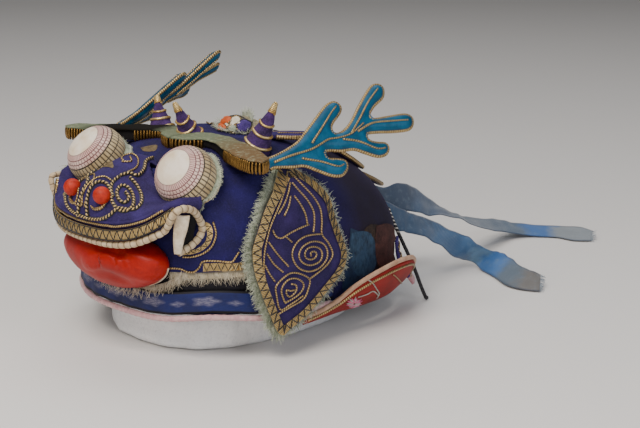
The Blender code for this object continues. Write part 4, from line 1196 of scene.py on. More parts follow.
class HAT_OT_face(bpy.types.Operator):
    """Indigo face cloth with a gilt hem line, a gold corner strip and a frayed edge"""
    bl_idname = "hat.face"
    bl_label = "Face Cloth"

    def execute(self, context):
        wool = napped_cloth("wool_indigo_face", hue("indigo"), linear("120d38"), linear("352b78"), 0.8,
            11.0)
        cloth = Stock()

        def where(u, v):
            angle = math.radians(-90.0 - FACE_REACH + 2 * FACE_REACH * u)
            low = face_hem(angle, 0.0)
            point = crown_point(angle, low + (FACE_HIGH - low) * v, GAP + 0.3)
            return point + Vector((point.x, point.y, 0.0)).normalized() * (0.15 + ruffle(point, 9.0, 0.3))
        cloth.grid(150, 30, where, 210.0, 43.0)
        piece("face_wool", cloth, [wool], ("face_cloth",), "face_cloth", 1.3, 1.0)
        tree = carrier("face_wool")
        thread = millimetres("gilt_cord") / 2
        trim = Stock()
        hem = laid([(150, 262), (160, 266), (169, 268), (181, 269), (191, 273), (199, 268), (203, 261.5),
                    (217, 261), (231, 262), (235, 258), (239, 252)], tree, thread * 0.5)
        sides = [hem, seated(flipped(hem), tree, thread * 0.5)]
        for path in sides:
            trim.sweep(path, thread)
        gold_edge = [laid([(203, 263.5), (217, 263), (231, 263.5), (246, 261.5)], tree, 0.25),
                     laid([(203, 271.5), (217, 271), (231, 271.5), (246, 269.5)], tree, 0.25)]
        both = [gold_edge, [seated(flipped(path), tree, 0.25) for path in gold_edge]]
        for first, second in both:
            if len(first) > 3 and len(second) > 3:
                trim.grid(24, 2, lambda u, v: spline_point(first, (len(first) - 1) * u).lerp(
                    spline_point(second, (len(second) - 1) * u), v), 24.0, 4.5, 1)
                trim.sweep(straight(zigzag(first, second, 3.6)), millimetres("stitch") / 2, 4, slot=2)
        piece("face_trim", trim, [gilt_cord_finish(), gold_strip_finish(), black_stitch_finish()], (),
            "gold_wrap")

        # Torn cotton backing, sand coloured: pale loose threads over a darker weave
        fringe = Stock()
        roots = []
        for i in range(61):
            angle = math.radians(-66.0 + 37.0 * i / 60)
            high = face_hem(angle, -0.2)
            roots.append((crown_point(angle, high, 1.1), Vector((0.0, 0.0, -1.0))))
        fringe.grid(60, 2, lambda u, v: crown_point(
            math.radians(-66.0 + 37.0 * u), face_hem(math.radians(-66.0 + 37.0 * u), -3.4 + 3.2 * v),
            0.9 + 0.5 * (1 - v)), 40.0, 3.0)
        fray(fringe, roots, 5.5, 5.6, 11, 0.15, 0.35, 1)
        fray(fringe, [(p + Vector((0, 0, -1.6)), d) for p, d in roots], 4.5, 4.4, 12, 0.3, 0.5, 1)
        sand = plain_thread("cotton_sand", linear("8d8062"), linear("c7baa0"), 1.6)
        loose = plain_thread("cotton_sand_loose", linear("a3967a"), linear("ddd3bc"), 3.0)
        right = piece("face_fringe_threads_right", fringe, [sand, loose], ("face_fringe_right",),
            "fringe_cloth")
        mirrored(right, "face_fringe_threads_left", ("face_fringe_left",), "fringe_cloth")
        # The same torn edge goes on below the pouch and hangs over the ribbon
        under, hanging = Stock(), []
        for i in range(57):
            x = -36.4 + 1.3 * i
            z = 50.8 - 17.0 * math.sqrt(1.0 - (x / 38.0) ** 2)
            angle = math.atan2(-CROWN_FRONT, x * CROWN_FRONT / CROWN_HALF_WIDTH)
            hanging.append((crown_point(angle, z, 2.0), Vector((0.0, -0.15, -1.0))))
        fray(under, hanging, 6.5, 5.4, 13, 0.1, 0.45)
        piece("face_fringe_threads_front", under, [loose], (), "fringe_cloth")
        return {"FINISHED"}


SHARED = {}


def shared(name, make):
    if name not in SHARED:
        SHARED[name] = make()
    return SHARED[name]


def gilt_cord_finish():
    return shared("gilt_cord", lambda: gilt("gilt_paper_cord", hue("gilt"), linear("5f4526"),
        linear("ecd7a2"), 1.3))


def gold_strip_finish():
    return shared("gold_strip", lambda: gilt("gilt_woven_strip", linear("ab8a4c"), linear("75592c"),
                                             linear("ecd69c"), 0.9, 0.34, 0.5, 0.0))


def black_stitch_finish():
    return shared("black_stitch", lambda: plain_thread("silk_thread_black", linear("0d0b0c"),
        linear("2a2522")))


def chain_cord_finish():
    return shared("chain", lambda: chain_gilt("gilt_black_plied"))


def ivory_finish():
    return shared("ivory", lambda: plain_thread("cotton_binding_ivory", linear("b9a488"), linear("e6d8c2"),
        2.4))


# Muzzle, lips and mouth

MUZZLE_HALF_WIDTH = 50.5
MUZZLE_FRONT = 34.0
MUZZLE_BACK = 24.0
MUZZLE_CENTRE_Y = -66.0
LIP_BOTTOM = 62.6
LIP_END = 47.0
LIP_RISE = 15.5
LIP_STRIP = 5.6
MOUTH_CORNER = [
    (48.0, -82.5, 79.0),
    (49.0, -77.7, 81.0),
    (48.5, -71.0, 78.7),
    (47.0, -66.0, 73.6),
    (46.5, -63.5, 68.6),
    (46.0, -65.0, 64.2),
    (45.0, -69.5, 60.5),
    (43.5, -77.0, 57.6),
]


def lip_height(x):
    power = 3.9 if x > 0 else 8.0
    return LIP_BOTTOM + LIP_RISE * (min(abs(x), 48.5) / LIP_END) ** power


def muzzle_plan(angle, off=0.0):
    depth, power = (MUZZLE_FRONT, 2.0) if math.sin(angle) < 0 else (MUZZLE_BACK, 1.15)
    across = abs(math.cos(angle)) / (MUZZLE_HALF_WIDTH + off)
    along = abs(math.sin(angle)) / (depth + off)
    reach = (across ** power + along ** power) ** (-1.0 / power)
    return Vector((reach * math.cos(angle), MUZZLE_CENTRE_Y + reach * math.sin(angle), 0.0))


def lip_path(off, drop, reach=72.0):
    points = []
    for i in range(49):
        angle = math.radians(-90.0 - reach + 2 * reach * i / 48)
        point = muzzle_plan(angle, off)
        point.z = lip_height(point.x) + drop
        points.append(point)
    return points


# Thread patterns of the muzzle: (across, down) marks seen from the front right
MUZZLE_CHAINS = [
    [(88.5, 220), (87.7, 207), (88.5, 196), (92, 187), (98.5, 182.3), (106, 183.5), (110, 189), (111, 195)],
    [(110.6, 195), (113, 203), (119, 210), (127, 211), (133, 206), (133, 196), (128, 188), (121, 186),
     (117, 192), (119, 200), (125, 203), (129, 198), (125.5, 192.5)],
    [(119, 177), (113, 182), (111, 189), (113, 197)],
    [(130, 178), (137, 186), (141.5, 196), (141, 204), (135, 209.5), (125, 209.5), (118, 208.5), (110, 215),
     (101, 219), (90, 218.5), (80, 215), (73, 211), (68, 205), (66, 197)],
    [(120, 176), (129, 173.5), (137, 176), (143.5, 170), (146, 161), (153.5, 157.5), (158, 152),
    (161.5, 147)],
]
MUZZLE_LINES = [
    [(82, 206), (83, 195), (88.5, 185), (96, 178.5), (105, 177), (111, 180.5)],
    [(78, 175.5), (79.5, 183), (78, 196), (76, 204.5), (82.3, 205), (82.5, 197)],
    [(123.5, 161), (121.5, 158.5), (125, 155.5), (131.5, 154), (137, 157.5), (138, 164), (134.5, 169),
    (127, 172.5)],
    [(121.8, 162), (131, 161.5), (130, 157)],
]
MUZZLE_CRESCENT = [(91, 205.5), (95, 209), (102, 207.5), (107.5, 201)]
WORN_LEAVES = [
    [(92.5, 166.5), (97, 161.3), (105, 158), (113, 156), (112.5, 161), (113.5, 167.8), (107, 167),
    (99, 167.8)],
    [(140.5, 148), (151, 145.5), (157.5, 145.5), (155, 151), (144.5, 151.5)],
]


class HAT_OT_muzzle(bpy.types.Operator):
    """Padded violet muzzle with its couched cords, crescents and worn patches"""
    bl_idname = "hat.muzzle"
    bl_label = "Muzzle"

    def execute(self, context):
        # Fulled wool, dyed violet: matt nap, slightly paler where it is stretched over the padding
        wool = napped_cloth("wool_violet_muzzle", hue("violet"), linear("20163f"), linear("57488a"), 0.8,
            9.0)

        def padded(point, normal):
            # The bridge of the nose swells up to the brows; the corners tuck in under the eyes
            bridge = 4.0 * math.exp(-((point.x + 4.0) / 17.0) ** 2 - ((point.y + 68.0) / 11.0) ** 2)
            corner = max(0.0, abs(point.x) - 42.0) * max(0.0, point.z - 76.0) * 0.05
            rise = (bridge if point.z > 76.0 else 0.0) - min(3.5, corner)
            return point + normal * (ruffle(point, 8.0, 0.35) - 0.1) + Vector((0.0, 0.0, rise))
        muzzle = soft_piece("muzzle_wool", "muzzle", [wool], 1.2, 9, padded, "muzzle_cloth")
        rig.padded(muzzle, fill=0.7)
        tree = carrier("muzzle_wool")
        chain = millimetres("chain_cord") / 2
        line = millimetres("gilt_cord") / 2
        stock = Stock()
        for marks in MUZZLE_CHAINS:
            stock.sweep(laid(marks, tree, chain * 0.9, 0.7), chain, 7, slot=1)
            stock.sweep(laid(marks, tree, chain * 0.1, 0.7), chain * 1.35, 7, slot=4)
        for marks in MUZZLE_CHAINS[:3]:
            path = flipped(laid(marks, tree, 0.0, 0.7))
            stock.sweep(seated(path, tree, chain * 0.9), chain, 7, slot=1)
            stock.sweep(seated(path, tree, chain * 0.1), chain * 1.35, 7, slot=4)
        for marks in MUZZLE_LINES:
            stock.sweep(laid(marks, tree, line * 0.6, 0.7), line, 6)
        for marks in MUZZLE_LINES[:1]:
            stock.sweep(seated(flipped(laid(marks, tree, 0.0, 0.7)), tree, line * 0.6), line, 6)
        crescent = laid(MUZZLE_CRESCENT, tree, 0.35, 0.6)
        for path in (crescent, seated(flipped(crescent), tree, 0.35)):
            stock.sweep(path, lambda s: 0.25 + 0.75 * math.sin(math.pi * s), 8)
        above = [p for p in lip_path(0.6, LIP_STRIP + 1.5, 66.0)]
        stock.sweep(seated(spline_path(above, 1.5), tree, line * 0.7), line * 1.15, 7)
        ridge = [p for p in lip_path(0.4, LIP_STRIP + 3.4, 60.0)]
        stock.sweep(seated(spline_path(ridge, 1.5), tree, 0.0), 0.8, 7, slot=3)
        wide = carrier("muzzle_wool", "face_wool", "crown_wool")
        for outline in WORN_LEAVES:
            laid_patch(stock, outline, wide, 0.2, 0.25, 2)
        # Gilt leather worn to its brown base: dull, cracked
        worn = napped_cloth("gilt_leather_worn", linear("71603f"), linear("453726"), linear("95835f"), 1.2,
            3.0,
                            0.6, 0.1, 0.5)
        piece("muzzle_cords", stock, [gilt_cord_finish(), chain_cord_finish(), worn, wool,
            black_stitch_finish()], (), "gold_wrap")
        return {"FINISHED"}


class HAT_OT_lips(bpy.types.Operator):
    """Gold strip with its black zigzag and the ivory bound piping of the mouth"""
    bl_idname = "hat.lips"
    bl_label = "Lips"

    def execute(self, context):
        outer = lip_path(0.0, 0.0)

        def front(u, v):
            point = spline_point(outer, 48 * u)
            away = Vector((point.x, point.y - MUZZLE_CENTRE_Y, 0.0)).normalized()
            return point + away * 0.8 * math.sin(math.pi * v) + Vector((0.0, 0.0, LIP_STRIP * v))
        strip = Stock()
        strip.grid(140, 6, front, 130.0, 5.6)
        piece("lip_strip_gilt", strip, [gold_strip_finish()], ("lip_strip",), "gold_strip", 3.0, -1.0)
        threads = Stock()

        def edge(v):
            made = []
            for i in range(101):
                point = front(i / 100, v)
                away = Vector((point.x, point.y - MUZZLE_CENTRE_Y, 0.0)).normalized()
                made.append(point + away * 0.22)
            return made
        tree = carrier("lip_strip_gilt")
        path = seated(straight(zigzag(edge(0.10), edge(0.94), 4.3), 0.5), tree, 0.12, 3.0)
        threads.sweep(path, millimetres("stitch") / 2, 5)
        for v in (0.07, 0.95):
            threads.sweep(spline_path(edge(v), 1.5), 0.28, 5)
        piece("lip_stitches", threads, [black_stitch_finish()], (), "gold_strip")

        radius = millimetres("piping") / 2
        middle = lip_path(-1.6, -3.8 / 2 - GAP, 68.0)
        right = [Vector(p) for p in MOUTH_CORNER]
        path = spline_path(flipped(reversed(right)) + middle[::2] + right, 0.45)
        total = sum((b - a).length for a, b in zip(path, path[1:]))
        turns = round(total / 3.4)

        def bound(s):
            wave = abs(math.sin(math.pi * turns * s))
            x = path[int(s * (len(path) - 1))].x
            # Flat where it is sewn tight along the front, full at the corners
            full = 0.62 + 0.38 * min(1.0, max(0.0, (x if x > 0 else -x - 34.0) / 28.0))
            return radius * full * (0.80 + 0.20 * wave ** 0.45)
        piping = Stock()
        piping.sweep(path, bound, 12)
        # Cotton binding over a cord, ivory: matt, with painted shade darkening the creases where the stitches pull it
        # in
        cloth, tree, shader = blank("cotton_binding_ivory_bound")
        place = add(tree, "SeparateXYZ", {0: add(tree, "TexCoord", out="UV")}, out=None)
        turn = add(tree, "Math", (place.outputs[0], total / turns), operation="DIVIDE")
        wave = add(tree, "Math", (add(tree, "Math", (add(tree, "Math", (turn, math.pi),
            operation="MULTIPLY"),), operation="SINE"),), operation="ABSOLUTE")
        cloud = add(tree, "TexNoise", {"Vector": add(tree, "TexCoord", out="Object"),
            "Scale": 1.0 / (3.0 * MM), "Detail": 4.0, "Roughness": 0.55})
        colour = add(tree, "Mix", {0: add(tree, "MapRange", (cloud, 0.3, 0.7)), 6: linear("ad9470"),
            7: linear("d8c6a6")}, 2, data_type="RGBA")
        # painted shade: the creases between the bound turns are mixed to dark brown
        colour = add(tree, "Mix", {0: add(tree, "MapRange", (wave, 0.42, 0.05)), 6: colour,
            7: linear("6b5843")}, 2, data_type="RGBA")
        tree.links.new(colour, shader.inputs["Base Color"])
        shader.inputs["Roughness"].default_value = 0.8
        tree.links.new(add(tree, "Bump", {"Height": add(tree, "TexNoise",
            {"Vector": add(tree, "TexCoord", out="Object"), "Scale": 1.0 / (0.6 * MM), "Detail": 3.0,
            "Roughness": 0.55}), "Distance": 0.15 * MM, "Strength": 0.6}), shader.inputs["Normal"])
        piece("lip_piping_ivory", piping, [cloth], ("lip_cord",), "ivory_cord")

        # Gold corner strip and gilt thread loop round the mouth's corner, on both cheeks
        face = carrier("face_wool")
        corner = Stock()
        first = laid([(198, 228), (204, 226), (207, 232), (206, 240), (201, 246), (193, 250), (185, 251)],
            face, 0.3)
        second = laid([(202, 221), (210, 224), (213, 233), (210, 243), (203, 250), (193, 254), (184, 255)],
            face, 0.3)
        loop = laid([(213, 222), (216, 234), (212, 246), (204, 253), (194, 256.5), (183, 257)], face, 0.4)
        for side in (1.0, -1.0):
            a, b, c = first, second, loop
            if side < 0:
                a, b, c = [seated(flipped(p), face, 0.3) for p in (a, b, c)]
            corner.grid(30, 2, lambda u, v: spline_point(a, (len(a) - 1) * u).lerp(
                spline_point(b, (len(b) - 1) * u), v), 34.0, 3.6, 1)
            corner.sweep(straight(zigzag(a, b, 2.8)), millimetres("stitch") / 2, 4, slot=2)
            corner.sweep(c, millimetres("gilt_cord") / 2)
        piece("mouth_corner_trim", corner, [gilt_cord_finish(), gold_strip_finish(), black_stitch_finish()],
            (), "gold_wrap")
        # Torn lining that stands out behind the left corner of the mouth
        torn = Stock()
        roots = [(Vector((-51.5 - 1.2 * math.sin(math.pi * k / 12), -69.0 + 2.0 * math.sin(k),
            84.0 - 30.0 * k / 12)),
                  Vector((-0.93, -0.35, -0.1))) for k in range(13)]
        fray(torn, roots, 7.0, 5.5, 61, 0.35, 0.5)
        piece("mouth_corner_fray_left", torn, [sage_finishes()[1]], (), "fringe_cloth")
        return {"FINISHED"}


# Folds of the mouth pouch: marks, depth, width
POUCH_FOLDS = [
    ([(88, 264), (98, 260), (110, 261), (124, 266), (138, 271), (148, 275)], 2.4, 4.6),
    ([(92, 272), (104, 273), (116, 278), (126, 283)], -1.0, 3.0),
    ([(116, 255), (130, 262), (144, 269), (156, 272)], -1.5, 3.0),
    ([(130, 252), (142, 259), (154, 265)], 1.3, 3.0),
    ([(98, 250), (112, 252), (126, 251), (140, 247)], -0.9, 3.0),
]


class HAT_OT_mouth_pouch(bpy.types.Operator):
    """Red satin pouch with lens-shaped folds and a thin cream seam"""
    bl_idname = "hat.mouth_pouch"
    bl_label = "Mouth Pouch"

    def execute(self, context):
        # Silk satin, red: a soft band of shine over each fold, deeper red in the hollows
        red = satin("silk_satin_red", linear("a31407"), linear("7c0d05"), linear("c02c14"), 0.5, 22.0, 0.42,
            "Object", 0.0)
        plain = carrier_of_node("mouth_pouch")
        folds = [(laid(marks, plain, 0.0, 1.0), depth, width) for marks, depth, width in POUCH_FOLDS]

        def folded(point, normal):
            move = 0.0
            for path, depth, width in folds:
                near = min((point - p).length_squared for p in path)
                move += depth * math.exp(-near / (width * width))
            return point + normal * (move + ruffle(point, 12.0, 0.3) - 0.1)
        pouch = soft_piece("mouth_pouch_satin", "mouth_pouch", [red], 1.1, 16, folded, "red_satin")
        relax = pouch.modifiers.new("relax", "SMOOTH")
        relax.factor = 0.5
        relax.iterations = 2
        settle(pouch)
        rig.padded(pouch, fill=0.55)
        tree = carrier("mouth_pouch_satin")
        seam = []
        for i in range(61):
            turn = math.pi * (1.03 + 0.94 * i / 60)
            x = 38.0 * math.cos(turn) * (1.0 + 0.06 * math.sin(turn)) * 0.99
            seam.append(Vector((x, -76.5, 50.0 + 17.0 * math.sin(turn) * 0.99)))
        stock = Stock()
        stock.sweep(seated(seam, tree, 0.15), 0.55, 6)
        piece("mouth_pouch_seam", stock, [ivory_finish()], (), "ivory_cord")
        return {"FINISHED"}


def carrier_of_node(node):
    mesh = frame["nodes"][node].data
    return BVHTree.FromPolygons([v.co / MM for v in mesh.vertices],
        [list(p.vertices) for p in mesh.polygons])


FANG = [
    (48.0, -77.3, 77.3, 7.2),
    (47.6, -78.2, 71.0, 6.8),
    (46.3, -78.6, 64.5, 5.2),
    (44.3, -77.5, 57.6, 3.6),
]


class HAT_OT_fangs(bpy.types.Operator):
    """Flat ivory fangs that hang in the corners of the mouth"""
    bl_idname = "hat.fangs"
    bl_label = "Fangs"

    def execute(self, context):
        # Stiffened cotton, ivory: smooth, a little greasy shine, brown dust in the weave
        cotton = plain_thread("cotton_stiffened_ivory", linear("b9a180"), linear("e9dcc6"), 5.0, 0.5, 0.15)
        across = Vector((0.72, 0.69, 0.0))
        rows = [Vector(row[:3]) for row in FANG]

        def where(u, v):
            width = table_value([(i, row[3]) for i, row in enumerate(FANG)], 3 * v, 1)
            bow = Vector((0.69, -0.72, 0.0)) * 0.5 * math.sin(math.pi * u)
            return spline_point(rows, 3 * v) + across * (0.5 - u) * width + bow
        stock = Stock()
        stock.grid(8, 24, where, 7.0, 20.0)
        right = piece("fang_cloth_right", stock, [cotton], ("fang_right",), "ivory_cord", 2.0, -1.0)
        mirrored(right, "fang_cloth_left", ("fang_left",), "ivory_cord")
        # Black lining of the mouth's corner behind each fang
        dark = napped_cloth("cotton_black_mouth", linear("100c12"), linear("070607"), linear("241c22"), 1.2)
        lining = Stock()
        lining.grid(10, 12, lambda u, v: Vector((47.2 - 3.4 * v + 1.0 * (u - 0.5),
            -76.5 + 9.0 * u - 1.0 * v,
                                                 76.5 - 15.5 * v)), 9.0, 16.0)
        right = piece("mouth_lining_right", lining, [dark], (), "face_cloth", 0.3)
        mirrored(right, "mouth_lining_left", (), "face_cloth")
        return {"FINISHED"}


# Eyes

EYE_CENTRE = (34.6, -65.0, 93.0)
EYE_AXIS = (0.088, -0.80, 0.60)
# Eye profile: radius, distance in front of the eye's middle
EYE_PROFILE = [
    (0.0, 10.3), (3.0, 10.15), (6.5, 9.5), (9.0, 8.6), (10.6, 7.7), (11.6, 6.9), (12.5, 6.0), (13.2, 5.0),
    (13.8, 4.2), (14.4, 3.0), (14.9, 1.5), (15.3, 0.0), (15.5, -2.0), (15.5, -4.0), (15.2, -6.0),
    (14.5, -7.6),
    (13.4, -9.4), (12.8, -14.0),
]


def frame_at(origin, along, normal):
    z = Vector(normal).normalized()
    x = (Vector(along) - z * Vector(along).dot(z)).normalized()
    made = Matrix((x, z.cross(x), z)).transposed().to_4x4()
    made.translation = Vector(origin)
    return made


def turned(stock, profile, steps, place, slot=0):
    """Add a round shape about its own Z; profile is (radius, height) from the top down."""
    lengths = [0.0]
    for a, b in zip(profile, profile[1:]):
        lengths.append(lengths[-1] + math.hypot(b[0] - a[0], b[1] - a[1]))
    start = len(stock.points)
    for radius, height in profile:
        for i in range(steps):
            turn = 2 * math.pi * i / steps
            stock.points.append(place @ Vector((radius * math.cos(turn), radius * math.sin(turn), height)))
    for j in range(len(profile) - 1):
        for i in range(steps):
            m = (i + 1) % steps
            a = start + j * steps
            corners = (a + i, a + steps + i, a + steps + m, a + m)
            places = ((i / steps, lengths[j]), (i / steps, lengths[j + 1]),
                      ((i + 1) / steps, lengths[j + 1]), ((i + 1) / steps, lengths[j]))
            if profile[j][0] == 0.0:
                corners, places = (a, a + steps + i, a + steps + m), places[:3]
            stock.face(corners, places, slot)


def eye_cloth():
    """Padded cotton eye: cream cap, pink rays, three rows of netted cells and long cream slats."""
    material, tree, shader = blank("cotton_padded_eye")
    place = add(tree, "SeparateXYZ", {0: add(tree, "TexCoord", out="UV")}, out=None)
    turn, down = place.outputs[0], place.outputs[1]
    body = add(tree, "TexCoord", out="Object")

    def zone(start, end):
        return add(tree, "Math", (add(tree, "MapRange", (down, start - 0.1, start + 0.1)),
            add(tree, "MapRange", (down, end + 0.1, end - 0.1))), operation="MULTIPLY")

    def spokes(count, shift, width):
        wave = add(tree, "Math", (add(tree, "Math", (add(tree, "Math", (turn, count), operation="MULTIPLY"),
            shift), operation="ADD"),), operation="FRACT")
        return add(tree, "MapRange", (add(tree, "Math", (add(tree, "Math", (wave, 0.5),
            operation="SUBTRACT"),), operation="ABSOLUTE"), 0.5 - width, 0.5))

    def line(height, width=0.2):
        return add(tree, "MapRange", (add(tree, "Math", (add(tree, "Math", (down, height),
            operation="SUBTRACT"),), operation="ABSOLUTE"), width + 0.08, width - 0.08))
    cloud = add(tree, "TexNoise", {"Vector": body, "Scale": 1.0 / (7.0 * MM), "Detail": 4.0,
        "Roughness": 0.55})
    fine = add(tree, "TexNoise", {"Vector": body, "Scale": 1.0 / (0.7 * MM), "Detail": 3.0,
        "Roughness": 0.55})
    cap = add(tree, "Mix", {0: add(tree, "MapRange", (cloud, 0.3, 0.62)), 6: linear("dcc7a6"),
        7: linear("eee3d2")}, 2, data_type="RGBA")
    rim = add(tree, "Mix", {0: add(tree, "MapRange", (cloud, 0.3, 0.7)), 6: linear("caa496"),
        7: linear("e2c6bb")}, 2, data_type="RGBA")
    slat = add(tree, "Mix", {0: add(tree, "MapRange", (cloud, 0.3, 0.7)), 6: linear("a38a5e"),
        7: linear("d2bf95")}, 2, data_type="RGBA")
    colour = add(tree, "Mix", {0: add(tree, "MapRange", (down, 9.4, 10.2)), 6: cap, 7: rim}, 2,
        data_type="RGBA")
    colour = add(tree, "Mix", {0: add(tree, "MapRange", (down, 16.3, 17.4)), 6: colour, 7: slat}, 2,
        data_type="RGBA")
    rays = add(tree, "Math", (spokes(66.0, 0.0, 0.3), zone(9.9, 12.8)), operation="MULTIPLY")
    colour = add(tree, "Mix", {0: add(tree, "Math", (rays, 0.9), operation="MULTIPLY"), 6: colour,
        7: linear("9c3c54")}, 2, data_type="RGBA")
    red = add(tree, "Math", (add(tree, "Math", (line(9.9, 0.16), 0.6), operation="MULTIPLY"),
        line(12.8, 0.2)), operation="MAXIMUM")
    for start, end, shift in ((12.8, 15.0, 0.0), (15.0, 17.2, 0.5)):
        red = add(tree, "Math", (red, add(tree, "Math", (spokes(44.0, shift, 0.16), zone(start, end)),
            operation="MULTIPLY")), operation="MAXIMUM")
    red = add(tree, "Math", (red, line(15.0, 0.22)), operation="MAXIMUM")
    colour = add(tree, "Mix", {0: add(tree, "Math", (red, 0.92), operation="MULTIPLY"), 6: colour,
        7: linear("5e1d2c")}, 2, data_type="RGBA")
    black = add(tree, "Math", (line(17.3, 0.3), add(tree, "Math",
        (spokes(44.0, 0.0, 0.24), zone(17.2, 32.0)), operation="MULTIPLY")), operation="MAXIMUM")
    black = add(tree, "Math", (black, add(tree, "Math", (line(21.4, 0.25), 0.9), operation="MULTIPLY")),
        operation="MAXIMUM")
    colour = add(tree, "Mix", {0: black, 6: colour, 7: linear("1d1512")}, 2, data_type="RGBA")
    tree.links.new(colour, shader.inputs["Base Color"])
    shader.inputs["Roughness"].default_value = 0.62
    shader.inputs["Sheen Weight"].default_value = 0.15
    groove = add(tree, "Math", (add(tree, "Math", (fine, 0.25), operation="MULTIPLY"),
        add(tree, "Math", (add(tree, "Math", (rays, red), operation="MAXIMUM"), black),
        operation="MAXIMUM")), operation="SUBTRACT")
    tree.links.new(add(tree, "Bump", {"Height": groove, "Distance": 0.45 * MM, "Strength": 0.9}),
        shader.inputs["Normal"])
    return material


class HAT_OT_eyes(bpy.types.Operator):
    """Bulging padded eyes, each in a torn collar of sage cloth"""
    bl_idname = "hat.eyes"
    bl_label = "Eyes"

    def execute(self, context):
        for name, centre, axis in (
                ("right", EYE_CENTRE, EYE_AXIS),
                ("left", (-EYE_CENTRE[0], EYE_CENTRE[1], EYE_CENTRE[2]), (-0.16, -0.66, 0.735))):
            self.eye(name, frame_at(centre, (1.0, 0.0, 0.0), axis))
        return {"FINISHED"}

    def eye(self, name, place):
        stock = Stock()
        profile = [(row.x, row.y) for row in spline_path([(r, h, 0.0) for r, h in EYE_PROFILE], 0.6)]
        profile[0] = (0.0, profile[0][1])
        turned(stock, profile, 120, place)
        # Shallow scallops where the stitches pull the slats in
        for i, point in enumerate(stock.points):
            spot = place.inverted() @ point
            radius = math.hypot(spot.x, spot.y)
            if radius > 12.5 and spot.z < 5.0:
                dent = 0.18 * (1.0 - abs(math.sin(22.0 * math.atan2(spot.y, spot.x))) ** 0.5)
                stock.points[i] = place @ Vector((spot.x * (1 - dent / radius),
                    spot.y * (1 - dent / radius), spot.z))
        cloth = shared("eye_cloth", eye_cloth)
        item = piece("eye_cotton_" + name, stock, [cloth], ("eye_" + name,), "eye_cloth")
        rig.padded(item, fill=0.9)
        tree = carrier("face_wool", "muzzle_wool", "crown_wool")
        collar = Stock()
        inner = []
        outer = []
        for i in range(73):
            turn = 2 * math.pi * i / 72
            near = place @ Vector((14.2 * math.cos(turn), 14.2 * math.sin(turn), -7.6))
            wide = 16.3 + 0.9 * noise.noise(Vector((math.cos(turn) * 2, math.sin(turn) * 2, 3.0)))
            far = place @ Vector((wide * math.cos(turn), wide * math.sin(turn), -8.8))
            spot, normal, _, gap = tree.find_nearest(far)
            if gap < 5.0:
                far = spot + normal * 0.7
            inner.append(near)
            outer.append(far)
        outer[-1] = outer[0]
        collar.grid(72, 3, lambda u, v: inner[round(72 * u)].lerp(outer[round(72 * u)], v), 100.0, 4.0)
        roots = [(b, (b - a).normalized()) for a, b in zip(inner, outer)]
        fray(collar, roots, 3.6, 1.5, 21, 0.1, 0.9, 1)
        sage, loose = sage_finishes()
        piece("eye_collar_" + name, collar, [sage, loose], (), "fringe_cloth")


def sage_finishes():
    return (shared("sage", lambda: plain_thread("cotton_sage", linear("76806a"), linear("a9b29c"), 2.2)),
            shared("sage_loose", lambda: plain_thread("cotton_sage_loose", linear("9aa28c"),
            linear("d5d9c4"), 3.0)))


class HAT_OT_nostrils(bpy.types.Operator):
    """Two small balls of orange-red silk"""
    bl_idname = "hat.nostrils"
    bl_label = "Nostrils"

    def execute(self, context):
        silk = satin("silk_orange_red", linear("b42c18"), linear("84180d"), linear("cf4a2c"), 0.45, 3.0,
            0.5, "Object", 0.0)
        stock = Stock()
        place = frame_at((11.5, -96.8, 84.3), (1, 0, 0), (0.2, -0.9, 0.45))
        profile = [(4.35 * math.sin(math.pi * i / 16),
            4.35 * math.cos(math.pi * i / 16)) for i in range(16)]
        turned(stock, profile, 40, place)
        right = piece("nostril_silk_right", stock, [silk], ("nostril_right",), "red_satin")
        mirrored(right, "nostril_silk_left", ("nostril_left",), "red_satin")
        return {"FINISHED"}


# Brows

BROW = [
    (1.0, -43.5), (5.0, -42.5), (10.0, -40.0), (14.0, -35.5), (19.0, -34.0), (26.0, -35.5), (34.0, -39.0),
    (43.0, -42.5), (54.0, -46.0), (64.0, -47.5), (69.0, -45.0), (67.0, -39.0), (58.0, -34.5), (48.0, -30.0),
    (34.0, -25.5), (20.0, -22.0), (8.0, -24.0), (1.0, -30.0),
]
BROW_TOP = 103.4
BROW_THICKNESS = 6.8


